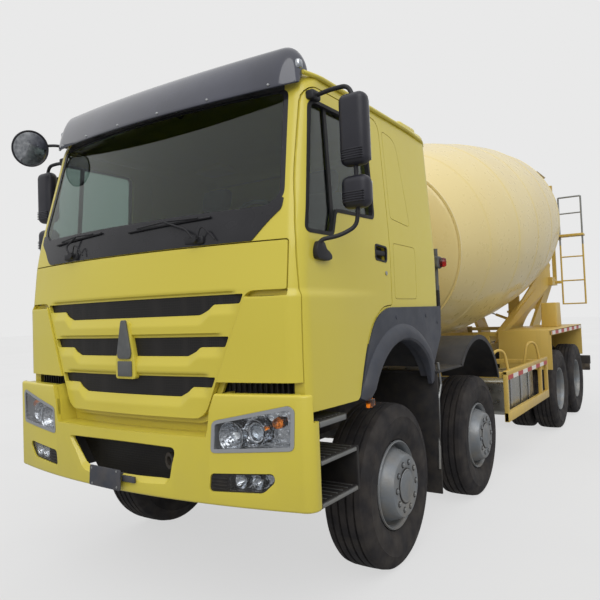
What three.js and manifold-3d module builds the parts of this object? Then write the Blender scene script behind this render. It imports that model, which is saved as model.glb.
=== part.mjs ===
// Concrete mixer truck, 8x4, forward control, with a rear-discharge drum.
// Millimetres. Z is up. The truck faces -Y, so +X is its own left-hand side. Inside the group, Y runs
// backwards from the foremost point of the bumper and Z runs up from the ground; the group is then
// moved so that the origin lies on the ground in the middle of the truck's length.

import * as THREE from "three";
import { mergeVertices } from "three/addons/utils/BufferGeometryUtils.js";
import Module from "manifold-3d";

const wasm = await Module();
wasm.setup();

const { PI, abs, cos, sin } = Math;
const rad = (degrees) => (degrees * PI) / 180;

// ---------------------------------------------------------------- driving dimensions

const SEAT_GAP = 0.3; // between pieces that rest on each other
const RUN_GAP = 8; // between pieces that move past each other
const PIN_GAP = 0.5; // between a pin and its bore

// Wheels, 315/80 R22.5 on 8.25 in or 9.0 in rims
const TYRE_RADIUS = 538;
const TYRE_WIDTH = 312;
const RIM_RADIUS = 286;
const RIM_HALF_WIDTH = 128;
const WHEEL_SIDES = 20;
const AXLE_Y = [1415, 3215, 6730, 8080];
const FRONT_TYRE_OUTER = 1168;
const REAR_TYRE_OUTER = 1238;
const TWIN_SPACING = 345;
const KINGPIN_X = 850;
const SPINDLE_RADIUS = 40;
const REAR_SPINDLE_RADIUS = 60;

// Chassis frame
const RAIL_OUTER = 425;
const RAIL_FLANGE = 80;
const RAIL_WALL = 10;
const RAIL_BOTTOM = 780;
const RAIL_TOP = 1060;
const RAIL_FRONT = 480;
const RAIL_REAR = 9560;
const SUBFRAME_TOP = 1180;
const SUBFRAME_FRONT = 2420;

// Cab
const CAB_HALF_WIDTH = 1170;
const CAB_REAR = 2262;
const CAB_FLOOR = 1500;
const CAB_ROOF = 3090;
const CAB_SKIN = 45;
const CAB_BOW = 100; // how far the front falls back at 1 m from the middle
const CORNER_RADIUS = 110;
const COWL_BOTTOM = 2098;
const WINDSHIELD_BOTTOM = 2275;
const WINDSHIELD_TOP = 2985;
const TILT_PIVOT = { y: 300, z: 700 };
const TILT_PIN_RADIUS = 18;
const TILT_ARM = { inner: 296, outer: 336 };
const DOOR_THICKNESS = 58;
const DOOR_FRONT = 280;
const DOOR_HINGE = { x: CAB_HALF_WIDTH - 10, y: DOOR_FRONT + 20 };
const LID_THICKNESS = 30;
const LID_HALF_WIDTH = 1100;
const GLASS_THICKNESS = 8;

// Bumper
const BUMPER_HALF_WIDTH = 1242;
const BUMPER_BOTTOM = 700;
const BUMPER_SHELF = 1055;
const BUMPER_TOP = 1290;
const BUMPER_WALL = 30;
const BUMPER_REAR = 292; // of its sides

// Drum
const DRUM_TILT = rad(9.6);
const DRUM_ORIGIN = { y: 3592, z: 2339 }; // on the axis, at the edge of the front head
const DRUM_WALL = 12;
const DRUM_SIDES = 30;
const RING_POSITION = 5050; // along the axis
const RING_RADIUS = 880;
const RING_WIDTH = 90;
const ROLLER_RADIUS = 125;
const ROLLER_WIDTH = 110;
const ROLLER_ANGLE = rad(33);
const ROLLER_SIDES = 20;

// Discharge
const CHUTE_PIVOT_Y = 9700;
const CHUTE_PIVOT_Z = 1560;
const CHUTE_PIVOT_RADIUS = 32;
const CHUTE_TILT = { x: -130, z: 1790 };
const CHUTE_SLOPE = rad(24);
const CHUTE_LENGTH = 1050;
const CHUTE_HALF_WIDTH = 250;
const CHUTE_WALL = 12;
const CHUTE_LIFT = 60; // from the tilt pin to the underside of the trough
const FOLD = 14; // how far the extension's hinge lies beyond the trough's end and above its edge
const FOLD_EAR = 11; // how far the hinge ears stand proud of the trough
const FOLD_PIN_RADIUS = 6;
const EXTENSION_LENGTH = 748;
const JACK_FOOT = { x: -150, z: 1440 };
const JACK_EYE = { s: 480, up: 20 }; // on the chute, along its slope and above the tilt pin
const JACK_RADIUS = 26;
const JACK_ROD_RADIUS = 13;
const JACK_PIN_RADIUS = 8;
const FUNNEL_BOTTOM = 2160;

const LENGTH = CHUTE_PIVOT_Y + CHUTE_HALF_WIDTH + FOLD_EAR;

// ---------------------------------------------------------------- materials

function material(name, color, roughness, metalness = 0) {
  return new THREE.MeshStandardMaterial({ name, color, roughness, metalness });
}

const CAB_YELLOW = material("cab_yellow", 0xc8ba4b, 0.35);
const BODY_YELLOW = material("body_yellow", 0xcdb369, 0.4);
const DRUM_CREAM = material("drum_cream", 0xd6c47d, 0.35);
const BLACK_PLASTIC = material("black_plastic", 0x2b2d30, 0.6);
const DARK_PLASTIC = material("dark_plastic", 0x41464f, 0.55);
const VISOR_GLOSS = material("visor_gloss", 0x3a3c48, 0.15);
const RUBBER = material("rubber", 0x232023, 0.85);
const STEEL_GREY = material("steel_grey", 0x787d82, 0.5, 0.6);
const CHASSIS_BLACK = material("chassis_black", 0x26272a, 0.6, 0.3);
const TANK_SILVER = material("tank_silver", 0xa9a9a4, 0.35, 0.9);
const GLASS = new THREE.MeshStandardMaterial({
  name: "glass", color: 0x4b5a5a, roughness: 0.05, transparent: true, opacity: 0.45,
});
const TRIM_GREY = material("trim_grey", 0x55565a, 0.8);
const SEAT_CLOTH = material("seat_cloth", 0x3c3d42, 0.95);

// ---------------------------------------------------------------- solids

/** A closed three.js geometry as a manifold solid with its faces pointing out. */
function toSolid(geometry) {
  const bare = geometry.clone();
  bare.deleteAttribute("normal");
  bare.deleteAttribute("uv");
  const merged = mergeVertices(bare, 1e-3);
  const position = merged.attributes.position.array;
  const index = merged.index.array;
  const triangles = [];
  let volume = 0;
  for (let i = 0; i < index.length; i += 3) {
    const [a, b, c] = [index[i], index[i + 1], index[i + 2]];
    if (a === b || b === c || c === a) continue;
    triangles.push(a, b, c);
    const [p, q, r] = [a, b, c].map((k) => new THREE.Vector3().fromArray(position, 3 * k));
    volume += p.dot(q.cross(r));
  }
  if (volume < 0) triangles.reverse();
  return new wasm.Manifold(new wasm.Mesh({
    numProp: 3,
    vertProperties: new Float32Array(position),
    triVerts: new Uint32Array(triangles),
  }));
}

function toGeometry(solid) {
  const mesh = solid.getMesh();
  const geometry = new THREE.BufferGeometry();
  geometry.setAttribute("position", new THREE.BufferAttribute(mesh.vertProperties, 3));
  geometry.setIndex(new THREE.BufferAttribute(mesh.triVerts, 1));
  geometry.computeVertexNormals();
  return geometry;
}

const join = (...solids) => solids.flat().reduce((all, next) => all.add(next));
const cut = (base, ...tools) => tools.flat().reduce((left, tool) => left.subtract(tool), base);

const ordered = (a, b) => (a < b ? [a, b] : [b, a]);

/** A box between two limits on each axis, given in either order. */
function box(x, y, z) {
  const [[x0, x1], [y0, y1], [z0, z1]] = [ordered(...x), ordered(...y), ordered(...z)];
  const geometry = new THREE.BoxGeometry(x1 - x0, y1 - y0, z1 - z0);
  geometry.translate((x0 + x1) / 2, (y0 + y1) / 2, (z0 + z1) / 2);
  return toSolid(geometry);
}

function prism(outline, depth, basis, offset) {
  const shape = new THREE.Shape(outline.map(([u, v]) => new THREE.Vector2(u, v)));
  const geometry = new THREE.ExtrudeGeometry(shape, { depth, bevelEnabled: false, curveSegments: 6 });
  geometry.applyMatrix4(new THREE.Matrix4().makeBasis(...basis.map((axis) => new THREE.Vector3(...axis))));
  geometry.translate(...offset);
  return toSolid(geometry);
}

/** An outline of [y, z] points, extruded along X. */
function prismX(outline, from, to) {
  const [x0, x1] = ordered(from, to);
  return prism(outline, x1 - x0, [[0, 1, 0], [0, 0, 1], [1, 0, 0]], [x0, 0, 0]);
}

/** An outline of [x, z] points, extruded along Y. */
function prismY(outline, from, to) {
  const [y0, y1] = ordered(from, to);
  return prism(outline, y1 - y0, [[1, 0, 0], [0, 0, 1], [0, -1, 0]], [0, y1, 0]);
}

/** An outline of [x, y] points, extruded along Z. */
function prismZ(outline, from, to) {
  const [z0, z1] = ordered(from, to);
  return prism(outline, z1 - z0, [[1, 0, 0], [0, 1, 0], [0, 0, 1]], [0, 0, z0]);
}

/** A round bar between two points. */
function rod(from, to, radius, sides = 12) {
  const a = new THREE.Vector3(...from);
  const b = new THREE.Vector3(...to);
  const along = b.clone().sub(a);
  const geometry = new THREE.CylinderGeometry(radius, radius, along.length(), sides);
  const turn = new THREE.Quaternion().setFromUnitVectors(new THREE.Vector3(0, 1, 0), along.normalize());
  geometry.applyQuaternion(turn);
  geometry.translate(...a.add(b).multiplyScalar(0.5).toArray());
  return toSolid(geometry);
}

/** The radius of a faceted bore that a round pin turns in. */
const boreRadius = (pin, sides) => (pin + PIN_GAP) / cos(PI / sides);

/** A round tube that follows a bent line. */
function pipe(points, radius, steps = 14, sides = 8) {
  const corners = points.map((p) => new THREE.Vector3(...p));
  const path = new THREE.CatmullRomCurve3(corners, false, "catmullrom", 0.3);
  const section = new THREE.Shape();
  for (let i = 0; i < sides; i++) {
    const angle = (2 * PI * i) / sides;
    section[i ? "lineTo" : "moveTo"](radius * cos(angle), radius * sin(angle));
  }
  return toSolid(new THREE.ExtrudeGeometry(section, { steps, extrudePath: path, bevelEnabled: false }));
}

/** A profile of [radius, distance] points turned round an axis that leaves origin along direction. */
function turned(profile, origin, direction, sides, phase = 0) {
  const closed = profile[0][0] > 0 ? [...profile, profile[0]] : profile;
  const geometry = new THREE.LatheGeometry(closed.map(([r, s]) => new THREE.Vector2(r, s)), sides);
  geometry.rotateY(phase);
  const axis = new THREE.Vector3(...direction).normalize();
  geometry.applyQuaternion(new THREE.Quaternion().setFromUnitVectors(new THREE.Vector3(0, 1, 0), axis));
  geometry.translate(...origin);
  return toSolid(geometry);
}

/** A solid through rings of equally many [x, y, z] points, each ring convex. */
function loft(rings) {
  const count = rings[0].length;
  const vertices = rings.flat(2);
  const faces = [];
  for (let level = 0; level + 1 < rings.length; level++) {
    for (let i = 0; i < count; i++) {
      const a = level * count + i;
      const b = level * count + ((i + 1) % count);
      faces.push(a, b, b + count, a, b + count, a + count);
    }
  }
  const top = (rings.length - 1) * count;
  for (let i = 1; i + 1 < count; i++) {
    faces.push(0, i + 1, i, top, top + i, top + i + 1);
  }
  const geometry = new THREE.BufferGeometry();
  geometry.setAttribute("position", new THREE.Float32BufferAttribute(vertices, 3));
  geometry.setIndex(faces);
  return toSolid(geometry);
}

/** Points of an arc in a plane, from one angle to the other, in degrees. */
function arc(cx, cy, radius, from, to, steps) {
  return Array.from({ length: steps + 1 }, (_, i) => {
    const angle = rad(from + ((to - from) * i) / steps);
    return [cx + radius * cos(angle), cy + radius * sin(angle)];
  });
}

const bothSides = (make) => join(make(1), make(-1));

// ---------------------------------------------------------------- the scene graph

const truck = new THREE.Group();
truck.position.y = -LENGTH / 2;

function piece(name, solid, finish) {
  const mesh = new THREE.Mesh(toGeometry(solid), finish);
  mesh.name = name;
  truck.add(mesh);
}

const sideName = (side) => (side > 0 ? "left" : "right");

// ---------------------------------------------------------------- wheels and axles

const FRONT_WHEEL_X = FRONT_TYRE_OUTER - TYRE_WIDTH / 2;
const TWIN_X = REAR_TYRE_OUTER - (TYRE_WIDTH + TWIN_SPACING) / 2;
const HALF_FACET = PI / WHEEL_SIDES;
const TREAD_RADIUS = TYRE_RADIUS / cos(HALF_FACET); // so that a flat of the tread lies on the ground

/** Outer outline of one tyre, from its outboard bead to its inboard bead. */
function tyreOutline(centre) {
  const half = TYRE_WIDTH / 2;
  return [
    [RIM_RADIUS + 22, centre + RIM_HALF_WIDTH], [RIM_RADIUS + 100, centre + half],
    [TREAD_RADIUS - 60, centre + half - 4], [TREAD_RADIUS, centre + half - 34],
    [TREAD_RADIUS, centre - half + 34], [TREAD_RADIUS - 60, centre - half + 4],
    [RIM_RADIUS + 100, centre - half], [RIM_RADIUS + 22, centre - RIM_HALF_WIDTH],
  ];
}

function frontWheel(side, axleY) {
  const capFace = TYRE_WIDTH / 2 + 51;
  const bore = boreRadius(SPINDLE_RADIUS, WHEEL_SIDES);
  const profile = [
    [0, capFace], [110, capFace], [218, capFace - 14], [262, RIM_HALF_WIDTH - 60],
    ...tyreOutline(0),
    [RIM_RADIUS - 16, -RIM_HALF_WIDTH], [RIM_RADIUS - 16, 50], [205, 50], [205, -60],
    [bore, -60], [bore, 150], [0, 150],
  ];
  return turned(profile, [side * FRONT_WHEEL_X, axleY, TYRE_RADIUS], [side, 0, 0], WHEEL_SIDES, HALF_FACET);
}

function twinWheel(side, axleY) {
  const outer = TWIN_SPACING / 2;
  const bore = boreRadius(REAR_SPINDLE_RADIUS, WHEEL_SIDES);
  const profile = [
    [0, 225], [85, 225], [110, 195], [150, 185], [150, 40], [RIM_RADIUS - 16, 12],
    [RIM_RADIUS - 16, outer + RIM_HALF_WIDTH],
    ...tyreOutline(outer),
    ...tyreOutline(-outer),
    [RIM_RADIUS - 16, -outer - RIM_HALF_WIDTH], [RIM_RADIUS - 16, -12], [215, -12], [215, -290],
    [bore, -290], [bore, 100], [0, 100],
  ];
  return turned(profile, [side * TWIN_X, axleY, TYRE_RADIUS], [side, 0, 0], WHEEL_SIDES, HALF_FACET);
}

const KINGPIN_RADIUS = 22;
const EYE = { radius: 46, low: TYRE_RADIUS - 98, high: TYRE_RADIUS + 98 };

/** One side's steering knuckle: a fork round the beam's eye, its pin, its arm and the wheel spindle. */
function knuckle(side, axleY) {
  const at = (x) => side * x;
  const arms = [[EYE.low - 55, EYE.low - PIN_GAP], [EYE.high + PIN_GAP, EYE.high + 55]];
  const plate = box([at(KINGPIN_X + 56), at(KINGPIN_X + 84)], [axleY - 60, axleY + 60],
    [EYE.low - 55, EYE.high + 55]);
  const pinEnd = (z) => [at(KINGPIN_X), axleY, z];
  const pin = rod(pinEnd(EYE.low - 30), pinEnd(EYE.high + 30), KINGPIN_RADIUS, 16);
  const fork = arms.map((z) => box([at(KINGPIN_X - 45), at(KINGPIN_X + 84)], [axleY - 45, axleY + 45], z));
  const spindleEnd = FRONT_WHEEL_X + 150 - PIN_GAP;
  const spindle = rod([at(KINGPIN_X + 60), axleY, TYRE_RADIUS], [at(spindleEnd), axleY, TYRE_RADIUS],
    SPINDLE_RADIUS, WHEEL_SIDES);
  const trackArm = box([at(KINGPIN_X - 70), at(KINGPIN_X + 10)], [axleY + 30, axleY + 190],
    [EYE.low - 55, EYE.low - 20]);
  return join(plate, pin, fork, spindle, trackArm);
}

const SPRING_X = [350, 420];
const SPRING_HALF_SPAN = 700;

/** A bowed stack of leaves, as an outline of [y, z] points. */
function springOutline(centreY, seatZ, endZ, halfSpan, thickness) {
  const steps = 6;
  const line = Array.from({ length: steps + 1 }, (_, i) => {
    const t = (2 * i) / steps - 1;
    return [centreY + t * halfSpan, seatZ + (endZ - seatZ) * t * t];
  });
  const upper = line.map(([y, z], i) => [y, z + thickness * (1 - 0.6 * abs((2 * i) / steps - 1))]);
  return [...line, ...upper.reverse()];
}

function frontAxle(axleY) {
  const beamTop = EYE.low + 50;
  const beamWidth = 50;
  const beam = box([-640, 640], [axleY - beamWidth, axleY + beamWidth], [beamTop - 100, beamTop]);
  const end = (side) => {
    const rise = prismY([[side * 600, beamTop - 100], [side * 620, beamTop],
      [side * 800, EYE.high], [side * KINGPIN_X, EYE.high],
      [side * KINGPIN_X, EYE.low], [side * 765, EYE.low]], axleY - 40, axleY + 40);
    const eye = rod([side * KINGPIN_X, axleY, EYE.low], [side * KINGPIN_X, axleY, EYE.high], EYE.radius, 16);
    const bore = rod([side * KINGPIN_X, axleY, EYE.low - 5], [side * KINGPIN_X, axleY, EYE.high + 5],
      boreRadius(KINGPIN_RADIUS, 16), 16);
    return cut(join(rise, eye), bore);
  };
  const spring = (side) => {
    const leaves = prismX(springOutline(axleY, beamTop + 40, RAIL_BOTTOM - 90, SPRING_HALF_SPAN, 60),
      side * SPRING_X[0], side * SPRING_X[1]);
    const saddle = box([side * SPRING_X[0], side * SPRING_X[1]], [axleY - 80, axleY + 80],
      [beamTop - 10, beamTop + 60]);
    const hanger = (end) => box([side * SPRING_X[0], side * SPRING_X[1]],
      [axleY + end * SPRING_HALF_SPAN, axleY + end * (SPRING_HALF_SPAN - 90)],
      [RAIL_BOTTOM - 95, RAIL_BOTTOM - SEAT_GAP]);
    return join(leaves, saddle, hanger(1), hanger(-1));
  };
  return join(beam, bothSides(end), bothSides(spring));
}

const BOGIE_SPRING_X = [450, 540];

function rearBogie() {
  const [y3, y4] = [AXLE_Y[2], AXLE_Y[3]];
  const trunnionY = (y3 + y4) / 2;
  const spindleEnd = TWIN_X + 100 - PIN_GAP;
  const axle = (y) => join(
    rod([-spindleEnd, y, TYRE_RADIUS], [spindleEnd, y, TYRE_RADIUS], REAR_SPINDLE_RADIUS, WHEEL_SIDES),
    rod([-545, y, TYRE_RADIUS], [545, y, TYRE_RADIUS], 80, 12),
    turned([[0, -170], [150, -150], [225, -60], [225, 60], [150, 150], [0, 170]],
      [0, y, TYRE_RADIUS], [0, 1, 0], 12),
  );
  const trunnionZ = 690;
  const half = (y4 - y3) / 2;
  const spring = (side) => {
    const outline = springOutline(trunnionY, trunnionZ + 30, TYRE_RADIUS + 50, half + 60, 80);
    const bracket = box([side * (RAIL_OUTER - RAIL_FLANGE), side * RAIL_OUTER],
      [trunnionY - 110, trunnionY + 110], [trunnionZ - 80, RAIL_BOTTOM - SEAT_GAP]);
    return join(prismX(outline, side * BOGIE_SPRING_X[0], side * BOGIE_SPRING_X[1]), bracket);
  };
  const trunnion = rod([-545, trunnionY, trunnionZ], [545, trunnionY, trunnionZ], 70, 12);
  return join(axle(y3), axle(y4), trunnion, bothSides(spring));
}

AXLE_Y.forEach((axleY, i) => {
  const steered = i < 2;
  if (steered) piece(`front_axle_${i + 1}`, frontAxle(axleY), CHASSIS_BLACK);
  for (const side of [1, -1]) {
    const label = `${i + 1}_${sideName(side)}`;
    if (steered) piece(`knuckle_${label}`, knuckle(side, axleY), CHASSIS_BLACK);
    piece(`wheel_${label}`, steered ? frontWheel(side, axleY) : twinWheel(side, axleY), RUBBER);
  }
});
piece("rear_bogie", rearBogie(), CHASSIS_BLACK);

// ---------------------------------------------------------------- chassis

const RAIL_INNER = RAIL_OUTER - RAIL_FLANGE;
const CAB_REST_Y = [2150, 2230];

/** A channel rail with its flanges turned inwards. */
function channel(side, y, z) {
  const web = box([side * (RAIL_OUTER - RAIL_WALL), side * RAIL_OUTER], y, z);
  const flange = (low, high) => box([side * RAIL_INNER, side * RAIL_OUTER], y, [low, high]);
  return join(web, flange(z[0], z[0] + RAIL_WALL), flange(z[1] - RAIL_WALL, z[1]));
}

function frameRails() {
  const rail = (side) => channel(side, [RAIL_FRONT, RAIL_REAR], [RAIL_BOTTOM, RAIL_TOP]);
  const memberY = [RAIL_FRONT + 90, 2360, 3850, 5250, 6200, 9480];
  const members = memberY.map((y) => box([-RAIL_OUTER + 5, RAIL_OUTER - 5], [y, y + 80],
    [RAIL_BOTTOM + 5, RAIL_BOTTOM + 160]));
  const hingeHorn = (side) => {
    const x = [side * (TILT_ARM.outer + RUN_GAP), side * RAIL_OUTER];
    const horn = prismX([[TILT_PIVOT.y - 45, TILT_PIVOT.z + 30], [TILT_PIVOT.y - 30, TILT_PIVOT.z - 45],
      [TILT_PIVOT.y + 40, TILT_PIVOT.z - 45], [RAIL_FRONT + 30, RAIL_BOTTOM],
      [RAIL_FRONT + 30, RAIL_TOP - 40], [TILT_PIVOT.y + 60, RAIL_TOP - 120]], ...x);
    const pin = rod([side * (TILT_ARM.inner - 12), TILT_PIVOT.y, TILT_PIVOT.z],
      [side * (TILT_ARM.outer + 40), TILT_PIVOT.y, TILT_PIVOT.z], TILT_PIN_RADIUS, 16);
    return join(horn, pin);
  };
  const railX = (side) => [side * RAIL_INNER, side * RAIL_OUTER];
  const restPost = (side) => box(railX(side), CAB_REST_Y, [RAIL_TOP - 5, CAB_FLOOR - 60]);
  const restBeam = box([-560, 560], CAB_REST_Y, [CAB_FLOOR - 80, CAB_FLOOR - SEAT_GAP]);
  return join(bothSides(rail), members, bothSides(hingeHorn), bothSides(restPost), restBeam);
}

function subframe() {
  const z = [RAIL_TOP + SEAT_GAP, SUBFRAME_TOP];
  const railX = (side) => [side * (RAIL_INNER + 10), side * RAIL_OUTER];
  const rail = (side) => box(railX(side), [SUBFRAME_FRONT, RAIL_REAR - 60], z);
  const bars = [SUBFRAME_FRONT, 3500, 5200, 6900, 9400].map((y) => box([-RAIL_INNER - 20, RAIL_INNER + 20],
    [y, y + 80], [z[0] + 15, z[1] - 15]));
  return join(bothSides(rail), bars);
}

function engineBlock() {
  const block = box([-300, 300], [860, 2100], [690, 1430]);
  const mounts = [1000, 1800].map((y) => box([-RAIL_OUTER, RAIL_OUTER], [y, y + 80],
    [RAIL_TOP + SEAT_GAP, RAIL_TOP + 60]));
  return join(block, mounts);
}

function driveline() {
  const gearbox = box([-210, 210], [2100 + SEAT_GAP, 2330], [640, 1040]);
  const extension = box([-150, 150], [2329, 3000], [640, RAIL_BOTTOM - 10]);
  const shaft = rod([0, 2999, 700], [0, AXLE_Y[2] - 170 - SEAT_GAP, 600], 55, 12);
  return join(gearbox, extension, shaft);
}

function radiator() {
  const y = [RAIL_FRONT + 80, RAIL_FRONT + 180];
  return join(
    box([-380, 380], y, [RAIL_TOP + SEAT_GAP, 1440]),
    box([-RAIL_INNER + 12, RAIL_INNER - 12], y, [945 + SEAT_GAP, RAIL_TOP + 5]),
  );
}

piece("frame_rails", frameRails(), CHASSIS_BLACK);
piece("subframe", subframe(), BODY_YELLOW);
piece("engine_block", engineBlock(), STEEL_GREY);
piece("radiator", radiator(), BLACK_PLASTIC);
piece("driveline", driveline(), CHASSIS_BLACK);

// ---------------------------------------------------------------- side equipment

const STEP_FRONT = 320;
const STEP_REAR = 770;

/** The step box behind the bumper: a back panel, three treads and two end plates. */
function stepBox(side) {
  const x = (inner, outer) => [side * inner, side * outer];
  const back = box(x(820, 850), [STEP_FRONT, STEP_REAR], [680, 1136]);
  const treads = [[680, 712], [900, 932], [1096, 1136]].map(([low, high], i) => box(x(820, 1205),
    [STEP_FRONT, i === 2 ? STEP_REAR - 110 : STEP_REAR], [low, high]));
  const ends = [[STEP_FRONT, STEP_FRONT + 25], [STEP_REAR - 25, STEP_REAR]].map((y, i) => box(x(820, 1205), y,
    [680, i ? 932 : 1136]));
  const arm = box(x(RAIL_OUTER + SEAT_GAP, 830), [RAIL_FRONT + 40, RAIL_FRONT + 120], [830, 960]);
  return join(back, treads, ends, arm);
}

const GUARD = { front: 3905, rear: 5850, low: 540, high: 1050, outer: 1240 };

/** The yellow side guard: a frame of square tube and its two stays to the chassis rail. */
function sideGuard(side) {
  const tube = 45;
  const x = [side * (GUARD.outer - tube), side * GUARD.outer];
  const bars = [[GUARD.low, GUARD.low + 60], [GUARD.high - 95, GUARD.high]].map((z) => box(x,
    [GUARD.front, GUARD.rear], z));
  const posts = [GUARD.front, GUARD.rear - 390, GUARD.rear - tube].map((y) => box(x, [y, y + tube],
    [GUARD.low, GUARD.high]));
  const stayY = [GUARD.front + 30, GUARD.rear - 330];
  const stayX = [side * (RAIL_OUTER + SEAT_GAP), side * (GUARD.outer - 10)];
  const stays = stayY.map((y) => box(stayX, [y, y + 60], [GUARD.high - 75, GUARD.high - 15]));
  return join(bars, posts, stays);
}

const TANK = { front: 4060, rear: 5330, inner: 560, outer: 1170, low: 575, high: 950, corner: 60 };

function fuelTank() {
  const r = TANK.corner;
  const body = prismX([
    ...arc(TANK.front + r, TANK.low + r, r, 180, 270, 2), ...arc(TANK.rear - r, TANK.low + r, r, 270, 360, 2),
    ...arc(TANK.rear - r, TANK.high - r, r, 0, 90, 2), ...arc(TANK.front + r, TANK.high - r, r, 90, 180, 2),
  ], TANK.inner, TANK.outer);
  const bracketX = [RAIL_OUTER + SEAT_GAP, TANK.inner + 20];
  const bracketY = [TANK.front + 200, TANK.rear - 280];
  const brackets = bracketY.map((y) => box(bracketX, [y, y + 80], [TANK.low + 40, TANK.high]));
  const cap = rod([900, TANK.front + 260, TANK.high - 10], [900, TANK.front + 260, TANK.high + 45], 50, 12);
  return join(body, brackets, cap);
}

function batteryBox() {
  const body = box([-RAIL_OUTER - 60, -1150], [TANK.front, TANK.front + 620], [600, 945]);
  const airTank = rod([-820, TANK.front + 600, 760], [-820, TANK.front + 1500, 760], 150, 16);
  const shelf = box([-RAIL_OUTER - 20, -960], [TANK.front + 100, TANK.front + 1400], [575, 625]);
  const bracketX = [-RAIL_OUTER - SEAT_GAP, -RAIL_OUTER - 60];
  const bracketY = [TANK.front + 100, TANK.front + 1320];
  const brackets = bracketY.map((y) => box(bracketX, [y, y + 80], [575, 940]));
  return join(body, airTank, shelf, brackets);
}

const MUDGUARD = {
  y: 3095, z: 795, radius: 655, inner: 640, outer: 1215, wall: 22, front: 2065, flapLow: 310,
};

/** Second-axle mudguards: an arched sheet on each side, its flap in front, joined by a cross tube. */
function mudguards() {
  const guard = (side) => {
    const outer = arc(MUDGUARD.y, MUDGUARD.z, MUDGUARD.radius, 20, 138, 8);
    const inner = arc(MUDGUARD.y, MUDGUARD.z, MUDGUARD.radius - MUDGUARD.wall, 20, 138, 8).reverse();
    const arch = prismX([...outer, ...inner], side * MUDGUARD.inner, side * MUDGUARD.outer);
    const apronY = MUDGUARD.y + MUDGUARD.radius * cos(rad(138));
    const apronZ = MUDGUARD.z + MUDGUARD.radius * sin(rad(138));
    const apronX = [side * MUDGUARD.inner, side * MUDGUARD.outer];
    const apron = box(apronX, [MUDGUARD.front, apronY + 12], [apronZ - MUDGUARD.wall, apronZ]);
    const flapX = [side * (MUDGUARD.inner - 20), side * (MUDGUARD.outer - 10)];
    const flap = box(flapX, [MUDGUARD.front, MUDGUARD.front + MUDGUARD.wall], [MUDGUARD.flapLow, apronZ]);
    return join(arch, apron, flap);
  };
  const carrierEnd = MUDGUARD.inner + 80;
  const carrier = box([-carrierEnd, carrierEnd], [2430, 2490], [SUBFRAME_TOP + SEAT_GAP, SUBFRAME_TOP + 50]);
  return join(bothSides(guard), carrier);
}

piece("step_box_left", stepBox(1), BLACK_PLASTIC);
piece("step_box_right", stepBox(-1), BLACK_PLASTIC);
piece("side_guard_left", sideGuard(1), BODY_YELLOW);
piece("side_guard_right", sideGuard(-1), BODY_YELLOW);
piece("fuel_tank", fuelTank(), TANK_SILVER);
piece("battery_box", batteryBox(), BLACK_PLASTIC);

const FENDER = {
  front: 6150, rear: 8600, top: 1370, wall: 18, inner: 560, outer: 1240, frontLow: 850, rearLow: 880,
};
const DECK_BOX = { inner: 860, outer: 1080, front: 7450, rear: 7830, rise: 365, lean: 40 };

/** Flat rear fenders with upright aprons on cross tubes, and the box that stands on the left one. */
function rearFenders() {
  const { front, rear, top, wall, inner, outer, frontLow, rearLow } = FENDER;
  const outline = [
    [front, frontLow], [front + wall, frontLow], [front + wall, top - wall], [rear - wall, top - wall],
    [rear - wall, rearLow], [rear, rearLow], [rear, top], [front, top],
  ];
  const sheet = (side) => prismX(outline, side * inner, side * outer);
  const carrierY = [front + 40, rear - 130];
  const carrierZ = [top - 75, top - wall + 2];
  const carriers = carrierY.map((y) => box([-outer + 60, outer - 60], [y, y + 70], carrierZ));
  const postX = (side) => [side * (RAIL_OUTER - 60), side * RAIL_OUTER];
  const posts = (side) => join(carrierY.map((y) => box(postX(side), [y, y + 70],
    [SUBFRAME_TOP + SEAT_GAP, top - 70])));
  const deckBox = prismX([
    [DECK_BOX.front, top - 5], [DECK_BOX.rear, top - 5], [DECK_BOX.rear - DECK_BOX.lean, top + DECK_BOX.rise],
    [DECK_BOX.front + DECK_BOX.lean, top + DECK_BOX.rise],
  ], DECK_BOX.inner, DECK_BOX.outer);
  return join(bothSides(sheet), carriers, bothSides(posts), deckBox);
}

piece("rear_fenders", rearFenders(), BODY_YELLOW);

// ---------------------------------------------------------------- drum and its supports

const AXIS = { y: cos(DRUM_TILT), z: sin(DRUM_TILT) };

/** A point of the drum's axis, at a distance from the edge of its front head. */
const onAxis = (distance) => [0, DRUM_ORIGIN.y + distance * AXIS.y, DRUM_ORIGIN.z + distance * AXIS.z];

const DRUM_OUTLINE = [
  [0, -250], [250, -250], [250, -205], [560, -150], [910, 0], [1100, 700], [1208, 1380], [1248, 2850],
  [1165, 4200], [1040, 4560], [620, 5480], [575, 5560], [575, 5760],
];
const MOUTH_END = 5760;
const MOUTH_RADIUS = 575;

function drum() {
  const inner = [...DRUM_OUTLINE].reverse().slice(0, -4).map(([r, s]) => [r - DRUM_WALL, s]);
  const profile = [...DRUM_OUTLINE, [MOUTH_RADIUS - DRUM_WALL, MOUTH_END], ...inner.slice(1),
    [560, -150 + DRUM_WALL], [0, -205 + DRUM_WALL]];
  const shell = turned(profile, onAxis(0), [0, AXIS.y, AXIS.z], DRUM_SIDES);
  const ringProfile = [
    [RING_RADIUS - 70, -RING_WIDTH / 2], [RING_RADIUS, -RING_WIDTH / 2],
    [RING_RADIUS, RING_WIDTH / 2], [RING_RADIUS - 140, RING_WIDTH / 2],
  ];
  const ring = turned(ringProfile, onAxis(RING_POSITION), [0, AXIS.y, AXIS.z], DRUM_SIDES);
  return join(shell, ring);
}

const ROLLER_REACH = RING_RADIUS + ROLLER_RADIUS + 1;

function rollerCentre(side) {
  const [, y, z] = onAxis(RING_POSITION);
  const drop = ROLLER_REACH * cos(ROLLER_ANGLE);
  return [side * ROLLER_REACH * sin(ROLLER_ANGLE), y + drop * AXIS.z, z - drop * AXIS.y];
}

const ROLLER_PIN = 30;

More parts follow.
